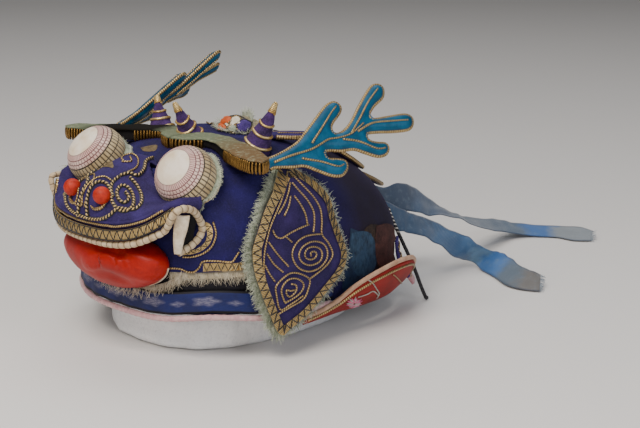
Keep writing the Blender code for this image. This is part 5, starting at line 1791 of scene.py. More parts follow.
class HAT_OT_brows(bpy.types.Operator):
    """Brows of gilt-wrapped ribs under a flat strip of faded sage cloth"""
    bl_idname = "hat.brows"
    bl_label = "Brows"

    def execute(self, context):
        # Black cotton core seen between the ribs; its near-black is painted shade in the gaps between the ribs and
        # along the bare stretch of each brow's recess
        core = napped_cloth("cotton_black_core", linear("131013"), linear("080708"), linear("2c2722"), 1.0)
        # Gilt paper wound round card ribs: bright on the rib; the gilt finish's painted shade, with this long pitch,
        # darkens each rib towards its foot
        wound = gilt("gilt_paper_wound", linear("a37f42"), linear("77592b"), linear("ecd69a"), 90.0, 0.27,
            0.8, 0.0)
        # Faded cotton strip: sage going to olive and tan, creased and rubbed, and painted near black over the left
        # brow's recess as painted shade
        top, tree, shader = blank("cotton_faded_sage")
        place = add(tree, "TexCoord", out="Object")
        split = add(tree, "SeparateXYZ", {0: place}, out=None)
        cloud = add(tree, "TexNoise", {"Vector": place, "Scale": 1.0 / (6.0 * MM), "Detail": 4.0,
            "Roughness": 0.65})
        reach = add(tree, "Math", (add(tree, "MapRange", (split.outputs[0], 0.012, 0.05)),
            add(tree, "Math", (cloud, 0.5), operation="SUBTRACT")), operation="ADD")
        colour = add(tree, "Mix", {0: add(tree, "MapRange", (reach, 0.1, 0.9)), 6: linear("6a735c"),
            7: linear("6c573c")}, 2, data_type="RGBA")
        colour = add(tree, "Mix", {0: add(tree, "MapRange",
            (add(tree, "TexNoise", {"Vector": place, "Scale": 1.0 / (2.4 * MM), "Detail": 4.0,
            "Roughness": 0.7}), 0.5, 0.8)), 6: colour, 7: linear("97997f")}, 2, data_type="RGBA")
        # painted shade: on the left brow the middle of the strip, over the recess, goes near black
        far = add(tree, "Math", (add(tree, "MapRange", (split.outputs[0], -0.012, -0.024)),
            add(tree, "MapRange", (split.outputs[0], -0.064, -0.054))), operation="MULTIPLY")
        colour = add(tree, "Mix", {0: far, 6: colour, 7: linear("14110d")}, 2, data_type="RGBA")
        tree.links.new(colour, shader.inputs["Base Color"])
        shader.inputs["Roughness"].default_value = 0.9
        shader.inputs["Specular IOR Level"].default_value = 0.15
        tree.links.new(add(tree, "Bump", {"Height": cloud, "Distance": 0.5 * MM, "Strength": 0.6}),
            shader.inputs["Normal"])

        for side, name, fall in ((1.0, "right", 1.0), (-1.0, "left", 3.5)):
            node = "brow_" + name
            soft_piece("brow_core_" + name, node, [core], 0.9, 2,
                       lambda point, normal: point - normal * 0.7, "gold_wrap")
            solid = carrier_of_node(node)
            tilt = Matrix.Rotation(math.radians(side * fall), 3, "Y")
            centre = Vector((0.0, 0.0, BROW_TOP - BROW_THICKNESS / 2))
            outline = []
            for x, y in BROW:
                shift = 0.0 if side > 0 else 6.3 * min(1.0, max(0.0, (x - 28.0) / 30.0))
                outline.append(Vector((side * (x + shift), y - shift, 0.0)))
            loop = outline + [outline[0]]
            ribs = Stock()
            width = millimetres("rib")
            for a, b in zip(loop, loop[1:]):
                count = max(1, round((b - a).length / width))
                across = (b - a).normalized()
                out = Vector((across.y, -across.x, 0.0)) * side
                for i in range(count):
                    foot = a.lerp(b, (i + 0.5) / count)
                    heights = []
                    for k in range(15):
                        z = -3.4 + 6.0 * k / 14
                        spot = centre + tilt @ Vector((foot.x, foot.y, z))
                        found = solid.find_nearest(spot, 0.5)
                        if found[0] is not None:
                            heights.append(z)
                    if len(heights) < 4 or heights[-1] < 1.5:
                        continue
                    low, high = heights[0], heights[-1]
                    path = []
                    for k in range(9):
                        t = k / 8
                        swell = 0.55 * math.sin(math.pi * t) ** 0.5
                        path.append(centre + tilt @ (foot + out * (swell - 0.1) + Vector((0, 0,
                            low + (high - low) * t))))
                    # painted shade: the ribs are left out along the recess, so the near-black core shows where the
                    # recess is in shade
                    bare = (16.0, 37.0) if side > 0 else (33.0, 60.0)
                    dark = bare[0] < abs(foot.x) < bare[1] and foot.y < -30.0
                    if not dark:
                        ribs.sweep(path, lambda s: width * 0.37 * (0.82 + 0.18 * math.sin(math.pi * s)), 8)
            piece("brow_ribs_" + name, ribs, [wound], (), "gold_wrap")
            # The strip is the top slice of the brow's own outline
            strip = show("brow_strip_" + name, body_mesh(node), [top], (), "gold_wrap")
            slab_shape = bmesh.new()
            bmesh.ops.create_cube(slab_shape, size=1.0)
            for vert in slab_shape.verts:
                local = Vector((vert.co.x * 180.0, vert.co.y * 120.0 - 20.0, 3.0 + vert.co.z * 2.0))
                vert.co = (centre + tilt @ local) * MM
            slab_mesh = bpy.data.meshes.new("brow_slab")
            slab_shape.to_mesh(slab_mesh)
            slab_shape.free()
            slab = bpy.data.objects.new("brow_slab", slab_mesh)
            context.scene.collection.objects.link(slab)
            keep = strip.modifiers.new("slice", "BOOLEAN")
            keep.operation = "INTERSECT"
            keep.solver = "EXACT"
            keep.object = slab
            fine = strip.modifiers.new("fine", "REMESH")
            fine.mode = "VOXEL"
            fine.voxel_size = 0.6 * MM
            relax = strip.modifiers.new("relax", "SMOOTH")
            relax.factor = 0.5
            relax.iterations = 3
            settle(strip)
            bpy.data.objects.remove(slab)
            for vert in strip.data.vertices:
                point = vert.co / MM
                push = Vector((vert.normal.x, vert.normal.y, 0.0)) * 0.9
                vert.co = (point + push + Vector((0, 0, 0.25 + ruffle(point, 7.0, 0.5)))) * MM
            strip.data.polygons.foreach_set("use_smooth", [True] * len(strip.data.polygons))
        return {"FINISHED"}


def flat_gilt_finish():
    return shared("flat_gilt", lambda: gilt("gilt_paper_flat", linear("c8a462"), linear("b8924e"),
        linear("f4e2aa"),
                                            90.0, 0.3, 0.6, 0.0))


# Horns: name, foot x, y, z, tip x, y, z, foot radius

HORNS = [
    ("horn_left", -34.0, -20.0, 96.0, -41.0, -17.0, 114.5, 7.6),
    ("horn_middle", -1.0, -27.0, 98.0, -3.0, -37.5, 119.0, 7.6),
    ("horn_right", 34.0, -17.0, 97.0, 42.0, -9.7, 121.5, 8.0),
]


class HAT_OT_horns(bpy.types.Operator):
    """Three small stuffed horns with gilt rings and wound tips"""
    bl_idname = "hat.horns"
    bl_label = "Horns"

    def execute(self, context):
        cloth = napped_cloth("cotton_aubergine_horn", linear("462a66"), linear("241539"), linear("745690"),
            0.8, 5.0)
        for name, fx, fy, fz, tx, ty, tz, radius in HORNS:
            foot = Vector((fx, fy, fz))
            tip = Vector((tx, ty, tz))
            length = (tip - foot).length
            place = frame_at(foot, (1, 0, 0), tip - foot)
            rows = [(0.0, length), (0.9, length - 0.4), (radius * 0.22, length * 0.82),
                    (radius * 0.40, length * 0.62), (radius * 0.60, length * 0.42),
                    (radius * 0.80, length * 0.20),
                    (radius, 0.0), (radius * 1.05, -2.0), (radius * 0.9, -5.5)]
            stock = Stock()
            turned(stock, rows[:1] + [(p.x, p.y) for p in spline_path([(r, h, 0.0) for r, h in rows[1:]],
                0.7)],
                   48, place)
            for i, point in enumerate(stock.points):
                out = (point - foot) - (tip - foot) * ((point - foot).dot(tip - foot) / length ** 2)
                if out.length > 0.3:
                    stock.points[i] = point + out.normalized() * (ruffle(point, 3.0, 0.5) - 0.1)
            horn = piece(name + "_cloth", stock, [cloth], (name,), "horn_cloth")
            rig.padded(horn, fill=0.9)
            tree = carrier(name + "_cloth")
            rings = Stock()
            for share, thick in ((0.14, 0.8), (0.36, 0.75), (0.56, 0.65)):
                wide = table_value([(-r[1], r[0]) for r in rows], -length * share, 1)
                loop = [place @ Vector((wide * math.cos(t), wide * math.sin(t),
                    length * share + 0.5 * math.sin(2 * t)))
                        for t in [2 * math.pi * k / 40 for k in range(40)]]
                loop = [tree.find_nearest(p)[0] + tree.find_nearest(p)[1] * 0.2 for p in loop]
                rings.sweep(loop, thick, 6, closed=True)
            coil = []
            for k in range(121):
                t = k / 120
                high = length * (0.79 + 0.22 * t)
                wide = max(0.55, table_value([(-r[1], r[0]) for r in rows], -min(high, length), 1)) + 0.12
                coil.append(place @ Vector((wide * math.cos(t * 44.0), wide * math.sin(t * 44.0), high)))
            rings.sweep(coil, 0.42, 6)
            piece(name + "_rings", rings, [flat_gilt_finish()], (), "gold_wrap")
        return {"FINISHED"}


# Antlers: the outline in its own plane, root first, round its tines: along, across

ANTLER = [
    (-4.0, 0.9), (6.0, -0.9), (17.9, -1.3), (27.2, 1.0), (39.9, 4.7), (45.7, 6.2), (50.3, 5.9),
    (52.1, 2.9), (50.1, 0.1), (42.2, -2.5), (39.4, -4.8), (39.5, -8.1), (44.8, -9.3),
    (52.0, -7.6), (61.6, -3.2), (71.1, 0.6), (76.0, 1.8), (79.1, 0.5), (79.7, -2.3),
    (76.3, -5.7), (69.0, -6.9), (63.6, -9.0), (63.0, -12.3), (71.1, -15.7), (80.3, -19.4),
    (82.9, -22.6), (81.0, -25.8), (76.8, -26.7), (68.4, -23.1), (59.6, -18.3), (54.6, -16.6),
    (53.3, -20.2), (56.4, -23.6), (60.2, -26.2), (59.9, -29.0), (56.6, -30.6), (52.1, -29.3),
    (47.4, -24.2), (43.3, -19.5), (36.4, -16.4), (31.7, -13.3), (28.2, -12.2), (27.0, -16.0),
    (31.5, -19.3), (34.4, -22.0), (33.1, -25.1), (28.1, -26.7), (23.5, -24.2), (19.2, -19.1),
    (14.0, -12.5), (8.0, -9.5), (-0.4, -4.8), (-4.0, -4.2),
]
ANTLERS = [
    ("antler_right", 1.0, 1.0, (57.0, -29.0, 98.5), (0.033, 0.944, 0.327), (0.784, -0.238, 0.574)),
    ("antler_left", -1.0, 0.6, (-57.4, -33.6, 96.5), (0.071, 0.914, 0.398), (-0.755, -0.251, 0.640)),
]
ANTLER_VEINS = [
    [(0.0, -3.0), (10.0, -5.0), (22.0, -8.0), (33.0, -8.5), (38.0, -10.5), (46.0, -12.5), (56.0, -11.5)],
    [(24.0, -5.5), (34.0, -2.0), (44.0, 1.8), (49.0, 3.2)],
    [(46.0, -12.5), (56.0, -8.5), (66.0, -4.0), (76.0, -1.0)],
    [(50.0, -13.5), (60.0, -14.0), (70.0, -18.5), (79.0, -23.0)],
    [(40.0, -12.5), (47.0, -18.0), (53.0, -26.0), (57.5, -28.0)],
    [(14.0, -9.0), (22.0, -16.0), (28.0, -22.5), (31.5, -23.0)],
]


def outline_distance(x, y, loop):
    best = 1e9
    for (ax, ay), (bx, by) in zip(loop, loop[1:]):
        dx, dy = bx - ax, by - ay
        t = max(0.0, min(1.0, ((x - ax) * dx + (y - ay) * dy) / (dx * dx + dy * dy + 1e-9)))
        best = min(best, (x - ax - t * dx) ** 2 + (y - ay - t * dy) ** 2)
    return math.sqrt(best)


class HAT_OT_antlers(bpy.types.Operator):
    """Padded turquoise antlers with a gilt cord round the edge and gilt veins"""
    bl_idname = "hat.antlers"
    bl_label = "Antlers"

    def execute(self, context):
        # Silk satin, turquoise, over wadding: soft shine, paler where light meets the crown of the pad
        blue = satin("silk_satin_turquoise", hue("turquoise"), linear("072c42"), linear("1c6f92"), 0.5, 7.0,
                     0.42, "Object", 0.0)
        for name, side, spread, root, along, normal in ANTLERS:
            place = frame_at(root, along, normal)
            back = place.inverted()
            marks = [(x, side * (y if y > -7.0 else -7.0 + spread * (y + 7.0))) for x, y in ANTLER]
            path = spline_path([(x, y, 0.0) for x, y in marks] + [(*marks[0], 0.0)], 0.7)
            loop = [(p.x, p.y) for p in path]
            coarse = loop[::2] + [loop[0]]

            def pillow(distance):
                share = min(1.0, distance / 4.0)
                return 2.5 * math.sqrt(max(0.0, 1.0 - (1.0 - share) ** 2))

            def padded(point, facing):
                spot = back @ point
                high = pillow(outline_distance(spot.x, spot.y, coarse))
                sign = 1.0 if spot.z > 0 else -1.0
                keep = min(1.0, max(0.0, abs(spot.z) / 1.2))
                spot.z = sign * max(0.25, high) * keep
                return place @ spot
            pad = soft_piece(name + "_satin", name, [blue], 0.9, 2, padded, "antler_cloth")
            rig.padded(pad, fill=0.8)
            tree = carrier(name + "_satin")
            cords = Stock()
            edge = []
            for p in path:
                spot = place @ Vector((p.x, p.y, 0.0))
                if tree.find_nearest(spot, 2.5)[0] is not None and p.x > -3.0:
                    edge.append(spot)
            cords.sweep(smoothed(edge), 0.95, 8)
            for vein in ANTLER_VEINS:
                line = spline_path([(x, side * (y if y > -7.0 else -7.0 + spread * (y + 7.0)), 0.0)
                                    for x, y in vein], 1.0)
                for face in (1.0, -1.0):
                    made = []
                    for p in line:
                        spot, facing, _, _ = tree.ray_cast(place @ Vector((p.x, p.y, 8.0 * face)),
                                                           (place.to_3x3() @ Vector((0, 0, -face))))
                        if spot is not None:
                            made.append(spot + facing * 0.15)
                    if len(made) > 3:
                        cords.sweep(smoothed(made), lambda s: 0.62 * (1.0 - 0.4 * s), 6)
            piece(name + "_cords", cords, [gilt_cord_finish()], (), "gold_wrap")
        return {"FINISHED"}


# Ears: z, y of the front edge, y of the back edge

EAR = [
    (91.0, -19.0, -14.0), (88.0, -25.0, -10.0), (83.5, -31.5, -6.0), (76.0, -38.5, -0.5),
    (67.0, -43.5, 1.0),
    (58.0, -47.0, 4.0), (48.0, -47.5, 6.7), (40.0, -46.0, 3.5), (31.0, -43.0, -8.0), (22.0, -39.5, -21.0),
    (16.5, -37.0, -32.0),
]
EAR_LINES = [
    [(287.5, 172), (285, 188), (280.5, 202), (275, 215), (269.5, 229), (265, 248), (263.8, 260),
    (263.8, 272),
     (266.7, 286), (271.5, 301), (276.5, 315)],
    [(289, 172), (297, 180), (305, 188), (314, 198), (320, 209), (321.5, 221), (321.5, 234), (328, 243),
     (332.3, 254), (328, 263), (319, 271.5), (309.6, 278.5)],
    [(276.5, 315), (290, 307), (303, 299), (307.5, 290), (309.3, 279.5), (300.5, 274), (291, 273),
    (283, 278),
     (276, 286), (276, 294), (280, 309.5), (290, 304.5), (303, 295.5)],
    [(284.7, 302.5), (281.3, 293), (282.4, 286), (288.8, 279.3), (297, 278.7), (302.7, 282.8),
    (302.7, 288.5),
     (297, 295.5), (284.7, 303)],
    [(291, 284), (295.7, 285), (295.7, 291), (290, 296.6), (286.4, 294.3), (286.4, 289.7), (290, 290.8),
     (294.6, 289.7)],
    [(290, 183), (288, 193), (284, 204), (278, 214)],
    [(292, 183), (299, 191), (307, 200), (313, 211), (314, 222), (313, 232)],
    [(294, 196), (300, 204), (305, 214), (307, 224)],
    [(290.5, 196), (288.5, 206), (284, 216)],
    [(321, 234), (314, 234.5), (305, 236.3), (297, 242), (292.2, 251.3), (292.8, 259.5), (298, 267.6),
     (305, 271), (312, 271), (320, 267), (326, 259.5), (327, 251.3), (323.6, 244.4), (316.6, 241.5),
     (308.5, 242.6), (301.5, 247.8), (298.6, 254.8), (300.4, 260.6), (306, 264.7), (313, 264.7),
     (320, 260.6),
     (321.8, 253.7), (319, 248.4), (313, 246.7), (307.3, 248.4), (304.4, 253.7), (306, 258.3),
     (310.8, 259.5),
     (315.4, 257), (316, 253), (313, 251.3), (310.2, 253), (310.8, 256)],
    [(268.5, 242), (277, 253.7), (288.2, 266.4)],
    [(266.7, 253.7), (273.7, 264), (283, 272.2)],
    [(265, 265.3), (269, 273.4), (274.8, 281.5)],
    [(285.8, 236.8), (291.7, 242)],
]
EAR_LOOSE = [(272, 230), (275, 236), (280.6, 238), (288, 233.5), (294.6, 230), (300, 227.5), (307.5, 224.5)]


def hang_off(z):
    sewn = 3.1 * max(0.0, 1.0 - (EAR[0][0] - z) / 7.0)
    return 3.6 - sewn + 2.4 * min(1.0, max(0.0, (58.0 - z) / 18.0))


def hanging_point(y, z, off):
    point = side_point(y, max(z, CROWN_SHOULDER - 1.0), off)
    point.z = z
    return point


def ear_outline(inset):
    """Outline of the ear as (y, z), moved inward by the inset, down the front edge and up the back."""
    front = [Vector((row[1], row[0], 0.0)) for row in EAR]
    back = [Vector((row[2], row[0], 0.0)) for row in reversed(EAR)]
    loop = spline_path(front + [Vector((-34.6, 14.4, 0.0))] + back + [front[0]], 1.2)[:-1]
    count = len(loop)
    made = []
    for i, p in enumerate(loop):
        ahead = (loop[(i + 2) % count] - loop[i - 2]).normalized()
        made.append(p + Vector((-ahead.y, ahead.x, 0.0)) * inset)
    return made


class HAT_OT_ears(bpy.types.Operator):
    """Long ears with spirals in gilt cord, a gold zigzag border and a frayed lining"""
    bl_idname = "hat.ears"
    bl_label = "Ears"

    def execute(self, context):
        # Closely woven cotton, dyed aubergine: flat and matt, with a fine pale nap
        cloth = napped_cloth("cotton_aubergine_ear", hue("aubergine"), linear("191038"), linear("4c3d7a"),
            0.8, 8.0)
        base = GAP + 1.45

        def ear_point(y, z, lift):
            return hanging_point(y, z, hang_off(z) + base + lift)
        leaf = Stock()

        def where(u, v):
            z = EAR[0][0] + (EAR[-1][0] - EAR[0][0]) * v
            front = table_value(EAR, z, 1)
            back = table_value(EAR, z, 2)
            y = front + (back - front) * u
            return ear_point(y, z, 0.35 * math.sin(math.pi * u) + 0.25 * noise.noise(Vector((y, z,
                0)) / 9.0) - 0.2)
        leaf.grid(40, 90, where, 44.0, 76.0)
        right = piece("ear_cotton_right", leaf, [cloth], ("ear_right",), "ear_cloth", 1.6, -1.0)
        left = mirrored(right, "ear_cotton_left", ("ear_left",), "ear_cloth")
        for item in (right, left):
            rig.sheet(item, flat=(0.055, 0.078), held="hung", rests_on=["crown"], area=0.0029)

        tree = carrier("ear_cotton_right")
        trim = Stock()
        width = millimetres("border")
        outer = ear_outline(-1.2)
        inner = ear_outline(width)
        if (sum(inner, Vector()) / len(inner) - inner[0]).length > (sum(outer,
            Vector()) / len(outer) - outer[0]).length:
            outer = ear_outline(1.2)
            inner = ear_outline(-width)
        edge_out = [ear_point(p.x - 0.6, p.y, 2.1) for p in outer]
        edge_in = [ear_point(p.x - 0.6, p.y, 2.3) for p in inner]
        count = min(len(edge_out), len(edge_in))
        trim.grid(count - 1, 2, lambda u, v: edge_in[round(u * (count - 1))].lerp(
            edge_out[round(u * (count - 1))], v), 230.0, 3.4, 1)
        away = Vector((0.25, 0.0, 0.0))
        trim.sweep(straight(zigzag([p + away for p in edge_in], [p + away for p in edge_out], 4.2)),
                   millimetres("stitch") * 0.62, 5, slot=2)
        thread = millimetres("gilt_cord") / 2
        for marks in EAR_LINES:
            path = laid(marks, tree, thread * 0.6, 0.8)
            if len(path) > 2:
                trim.sweep(path, thread * 0.92, 6)
        loose = laid(EAR_LOOSE, tree, 1.0, 0.8)
        trim.sweep(loose, thread * 0.9, 6)
        right = piece("ear_trim_right", trim, [gilt_cord_finish(), gold_strip_finish(),
            black_stitch_finish()], (), "gold_wrap")
        mirrored(right, "ear_trim_left", (), "gold_wrap")

        fringe = Stock()

        def lining(u, v):
            z = EAR[0][0] + (EAR[-1][0] - EAR[0][0]) * v
            front = table_value(EAR, z, 1) - 2.0
            back = table_value(EAR, z, 2) + 2.0
            low = z - 2.4 * v * v
            y = front + (back - front) * u
            return hanging_point(y, low, hang_off(low) + 0.2 * noise.noise(Vector((y, z, 4.0)) / 5.0))
        fringe.grid(16, 60, lining, 40.0, 80.0)
        roots = []
        outline = ear_outline(-0.4)
        centre = sum(outline, Vector()) / len(outline)
        for i, p in enumerate(outline):
            ahead = (outline[(i + 2) % len(outline)] - outline[i - 2]).normalized()
            out = Vector((ahead.y, -ahead.x, 0.0))
            if out.dot(p - centre) < 0:
                out = -out
            spot = hanging_point(p.x, p.y, hang_off(p.y) + 0.9)
            tip = hanging_point(p.x + out.x * 3.0, p.y + out.y * 3.0, hang_off(p.y + out.y * 3.0) + 0.9)
            roots.append((spot, (tip - spot).normalized()))
        roots.append(roots[0])
        length = millimetres("fray")
        fray(fringe, roots, 8.5, length * 1.25, 31, 0.15, 0.45, 1)
        fray(fringe, roots, 5.5, length * 1.1, 32, 0.25, 0.8, 2)
        tuft = [(spot, Vector((0.25, -0.35, 0.9)).normalized()) for spot in
                laid([(266, 176), (272, 172), (279, 168), (286, 166), (293, 167)],
                carrier("ear_cotton_right", "crown_wool"), 0.5)]
        fray(fringe, tuft, 7.0, 5.0, 33, 0.1, 0.9, 2)
        sage, pale = sage_finishes()
        green = plain_thread("cotton_sage_dark", linear("6f7c62"), linear("a3ad90"), 3.0)
        right = piece("ear_fringe_threads_right", fringe, [sage, pale, green], ("ear_fringe_right",),
            "fringe_cloth")
        mirrored(right, "ear_fringe_threads_left", ("ear_fringe_left",), "fringe_cloth")
        return {"FINISHED"}


# Crown ornament

class HAT_OT_ornament(bpy.types.Operator):
    """Small knot of faded silk petals on top of the crown, with frayed threads"""
    bl_idname = "hat.ornament"
    bl_label = "Crown Ornament"

    def execute(self, context):
        base = napped_cloth("cotton_cream_ornament", linear("b3a382"), linear("6d6449"), linear("ddd2b4"),
            1.0, 4.0)
        knot = soft_piece("ornament_pad", "crown_ornament", [base], 0.9, 3,
                          lambda point, normal: point + normal * (ruffle(point, 4.0, 0.6) - 0.6),
                          "ornament_cloth")
        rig.padded(knot, fill=0.6)
        tree = carrier("ornament_pad", "crown_wool")
        petals = Stock()
        # Petals as seen from the front right: outline, cloth, edge thread
        for outline, slot, edge in (
                ([(203, 119), (208, 116), (213, 120), (211, 125), (206, 123)], 1, 4),
                ([(213, 121), (219, 117), (218, 124), (214, 128)], 1, 4),
                ([(220, 120), (226, 116.5), (232, 118), (230, 123), (224, 125.5), (220, 124)], 0, 4),
                ([(216, 127), (220, 123.5), (226, 125), (228, 130), (222, 132), (217, 131)], 0, 5),
                ([(232, 119), (237, 117), (241, 120), (237, 125), (231, 127)], 1, 4),
                ([(237, 125), (243, 120.5), (251, 123), (250, 129), (243, 134), (237, 131)], 2, 5),
                ([(229, 128), (234, 125), (238, 129), (235, 134), (230, 133)], 3, 4)):
            laid_patch(petals, outline, tree, 0.6, 1.0, slot, 4, 26)
            rim = laid(outline + outline[:1], tree, 0.7, 0.8)
            if len(rim) > 3:
                petals.sweep(rim, 0.42, 5, slot=edge)
        chance = random.Random(13)
        for _ in range(46):
            spot = laid([(227 + 16 * chance.random(), 119 + 14 * chance.random())] * 2, tree, 0.6)
            if spot:
                petals.bead(spot[0], 0.55 + 0.35 * chance.random(), slot=chance.choice((1, 4, 5)))
        orange = satin("silk_orange", linear("cc5a26"), linear("a03a14"), linear("e8863e"), 0.5, 4.0, 0.45,
            "Object", 0.0)
        white = plain_thread("cotton_white_petal", linear("c9bfa4"), linear("efe8d6"), 3.0)
        violet = napped_cloth("cotton_violet_petal", linear("4a3480"), linear("2b1c56"), linear("7a64ad"),
            0.8, 4.0)
        sage, pale = sage_finishes()
        piece("ornament_petals", petals, [orange, white, violet, sage, gilt_cord_finish(),
            black_stitch_finish()], (), "ornament_cloth")
        threads = Stock()
        roots = []
        for k in range(33):
            t = 2 * math.pi * k / 32
            spot = Vector((2.0 + 14.0 * math.cos(t), 4.0 + 10.5 * math.sin(t), 120.0))
            hit = tree.ray_cast(spot, Vector((0, 0, -1)))
            spot.z = hit[0].z + 0.3
            roots.append((spot, Vector((math.cos(t), math.sin(t), 0.8)).normalized()))
        fray(threads, roots, 7.0, 4.6, 41, 0.1, 0.8)
        top = [(Vector((2.0 + k, 8.0 - 0.6 * k, 106.0)), Vector((0.2 * math.sin(k), 0.3, 1.0)).normalized())
               for k in range(-14, 13, 2)]
        top = [(tree.find_nearest(a)[0], b) for a, b in top]
        fray(threads, top, 6.0, 5.0, 42, -0.1, 0.8)
        loose = laid([(200, 118), (212, 115), (225, 119), (238, 117), (252, 124)], tree, 0.9, 1.0)
        threads.sweep(loose, 0.45, 5, slot=1)
        piece("ornament_fray", threads, [pale, black_stitch_finish()], (), "fringe_cloth")
        return {"FINISHED"}


# Mane leaves: name, foot x, y, height over the dome, turn outward, fall, length, width

MANE = [
    ("mane_leaf_1", 0.0, 52.0, 1.1, 0.0, 28.3, 47.0, 15.0),
    ("mane_leaf_2", 1.0, 77.0, 2.4, 0.0, 25.5, 39.0, 16.0),
    ("mane_leaf_3", 2.0, 83.5, 2.4, 0.0, 23.7, 38.0, 16.0),
    ("mane_leaf_4", 24.0, 44.0, 1.9, -12.0, 33.0, 28.0, 15.0),
    ("mane_leaf_5", -24.0, 44.0, 1.9, 12.0, 33.0, 28.0, 15.0),
    ("mane_leaf_6", 26.0, 2.0, 1.8, -24.0, 4.0, 30.0, 13.0),
]


def leaf_outline(length, width):
    half = [(-6.0, 0.24), (0.0, 0.34), (0.18, 0.46), (0.36, 0.5), (0.58, 0.42), (0.8, 0.24), (0.95, 0.08)]
    near = [(share * length if share > 0 else share, width * wide) for share, wide in half]
    return [(x, -y) for x, y in near] + [(length, 0.0)] + [(x, y) for x, y in reversed(near)]


class HAT_OT_mane(bpy.types.Operator):
    """Pointed leaves of the mane, dark violet with gilt edges"""
    bl_idname = "hat.mane"
    bl_label = "Mane"

    def execute(self, context):
        cloth = napped_cloth("cotton_violet_mane", linear("34246a"), linear("1b1242"), linear("5d4a94"),
            0.8, 7.0)
        edges = Stock()
        for name, x, y, lift, turn, fall, length, width in MANE:
            turn_angle = math.radians(turn)
            fall_angle = math.radians(fall)
            along = Vector((-math.sin(turn_angle) * math.cos(fall_angle),
                            math.cos(turn_angle) * math.cos(fall_angle), -math.sin(fall_angle)))
            across = Vector((math.cos(turn_angle), math.sin(turn_angle), 0.0))
            place = frame_at((x, y, crown_height(x, y) + lift), along, across.cross(along))
            leaf = soft_piece(name + "_cotton", name, [cloth], 0.8, 2,
                              lambda point, normal: point + normal * ruffle(point, 6.0, 0.35), "mane_cloth")
            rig.padded(leaf, fill=0.4)
            loop = spline_path([(px, py, 0.0) for px, py in leaf_outline(length, width)], 1.2)
            tree = carrier(leaf.name)
            rim = [place @ p for p in loop if p.x > 1.0]
            rim = [p for p in rim if tree.find_nearest(p, 1.6)[0] is not None]
            edges.sweep(smoothed(rim, 1), 1.2, 7)
            vein = [place @ Vector((length * (0.12 + 0.74 * k / 12), 0.0, 6.0)) for k in range(13)]
            down = place.to_3x3() @ Vector((0, 0, -1))
            vein = [hit[0] + hit[1] * 0.15 for hit in (tree.ray_cast(p,
                down) for p in vein) if hit[0] is not None]
            if len(vein) > 3:
                edges.sweep(vein, lambda s: 0.42 * (1.0 - 0.5 * s), 5)
        piece("mane_edges", edges, [gilt_cord_finish()], (), "gold_wrap")
        return {"FINISHED"}


# Side flap, turned up behind the ear: bearing, low z, hem z, low offset, hem offset

FLAP = [
    (-14.0, 13.6, 15.6, 0.8, 1.8),
    (-4.0, 14.2, 17.4, 0.8, 2.6),
    (5.0, 14.6, 21.0, 0.8, 4.0),
    (12.0, 14.4, 26.5, 0.8, 6.5),
    (20.0, 14.0, 31.0, 0.8, 9.5),
    (31.0, 13.5, 33.5, 0.8, 11.5),
    (41.0, 13.0, 31.5, 0.8, 11.5),
    (48.0, 13.0, 25.5, 0.8, 9.5),
    (53.0, 13.0, 18.0, 0.8, 5.5),
]
FLAP_LEAF = [(320.5, 311), (326.5, 306), (334, 303), (341.5, 302), (335, 307), (325, 311)]
FLAP_STEMS = [
    [(358, 297), (367, 294), (373, 291), (378, 295)],
    [(364, 279), (371.5, 282), (376.5, 289), (379, 293.5), (376.5, 298)],
]
FLAP_THREADS = [
    [(393, 274.5), (398, 279), (402, 285), (401, 293), (396, 303)],
    [(404.5, 281), (403.5, 290.5)],
]


def flap_edge(bearing, share):
    angle = math.radians(bearing)
    low = table_value(FLAP, bearing, 1)
    high = table_value(FLAP, bearing, 2)
    near = table_value(FLAP, bearing, 3)
    far = table_value(FLAP, bearing, 4)
    bow = 0.16 * (far - near) * math.sin(math.pi * share)
    off = near + (far - near) * share + bow
    point = crown_point(angle, CROWN_SHOULDER - 1.0, off)
    point.z = low + (high - low) * share
    return point


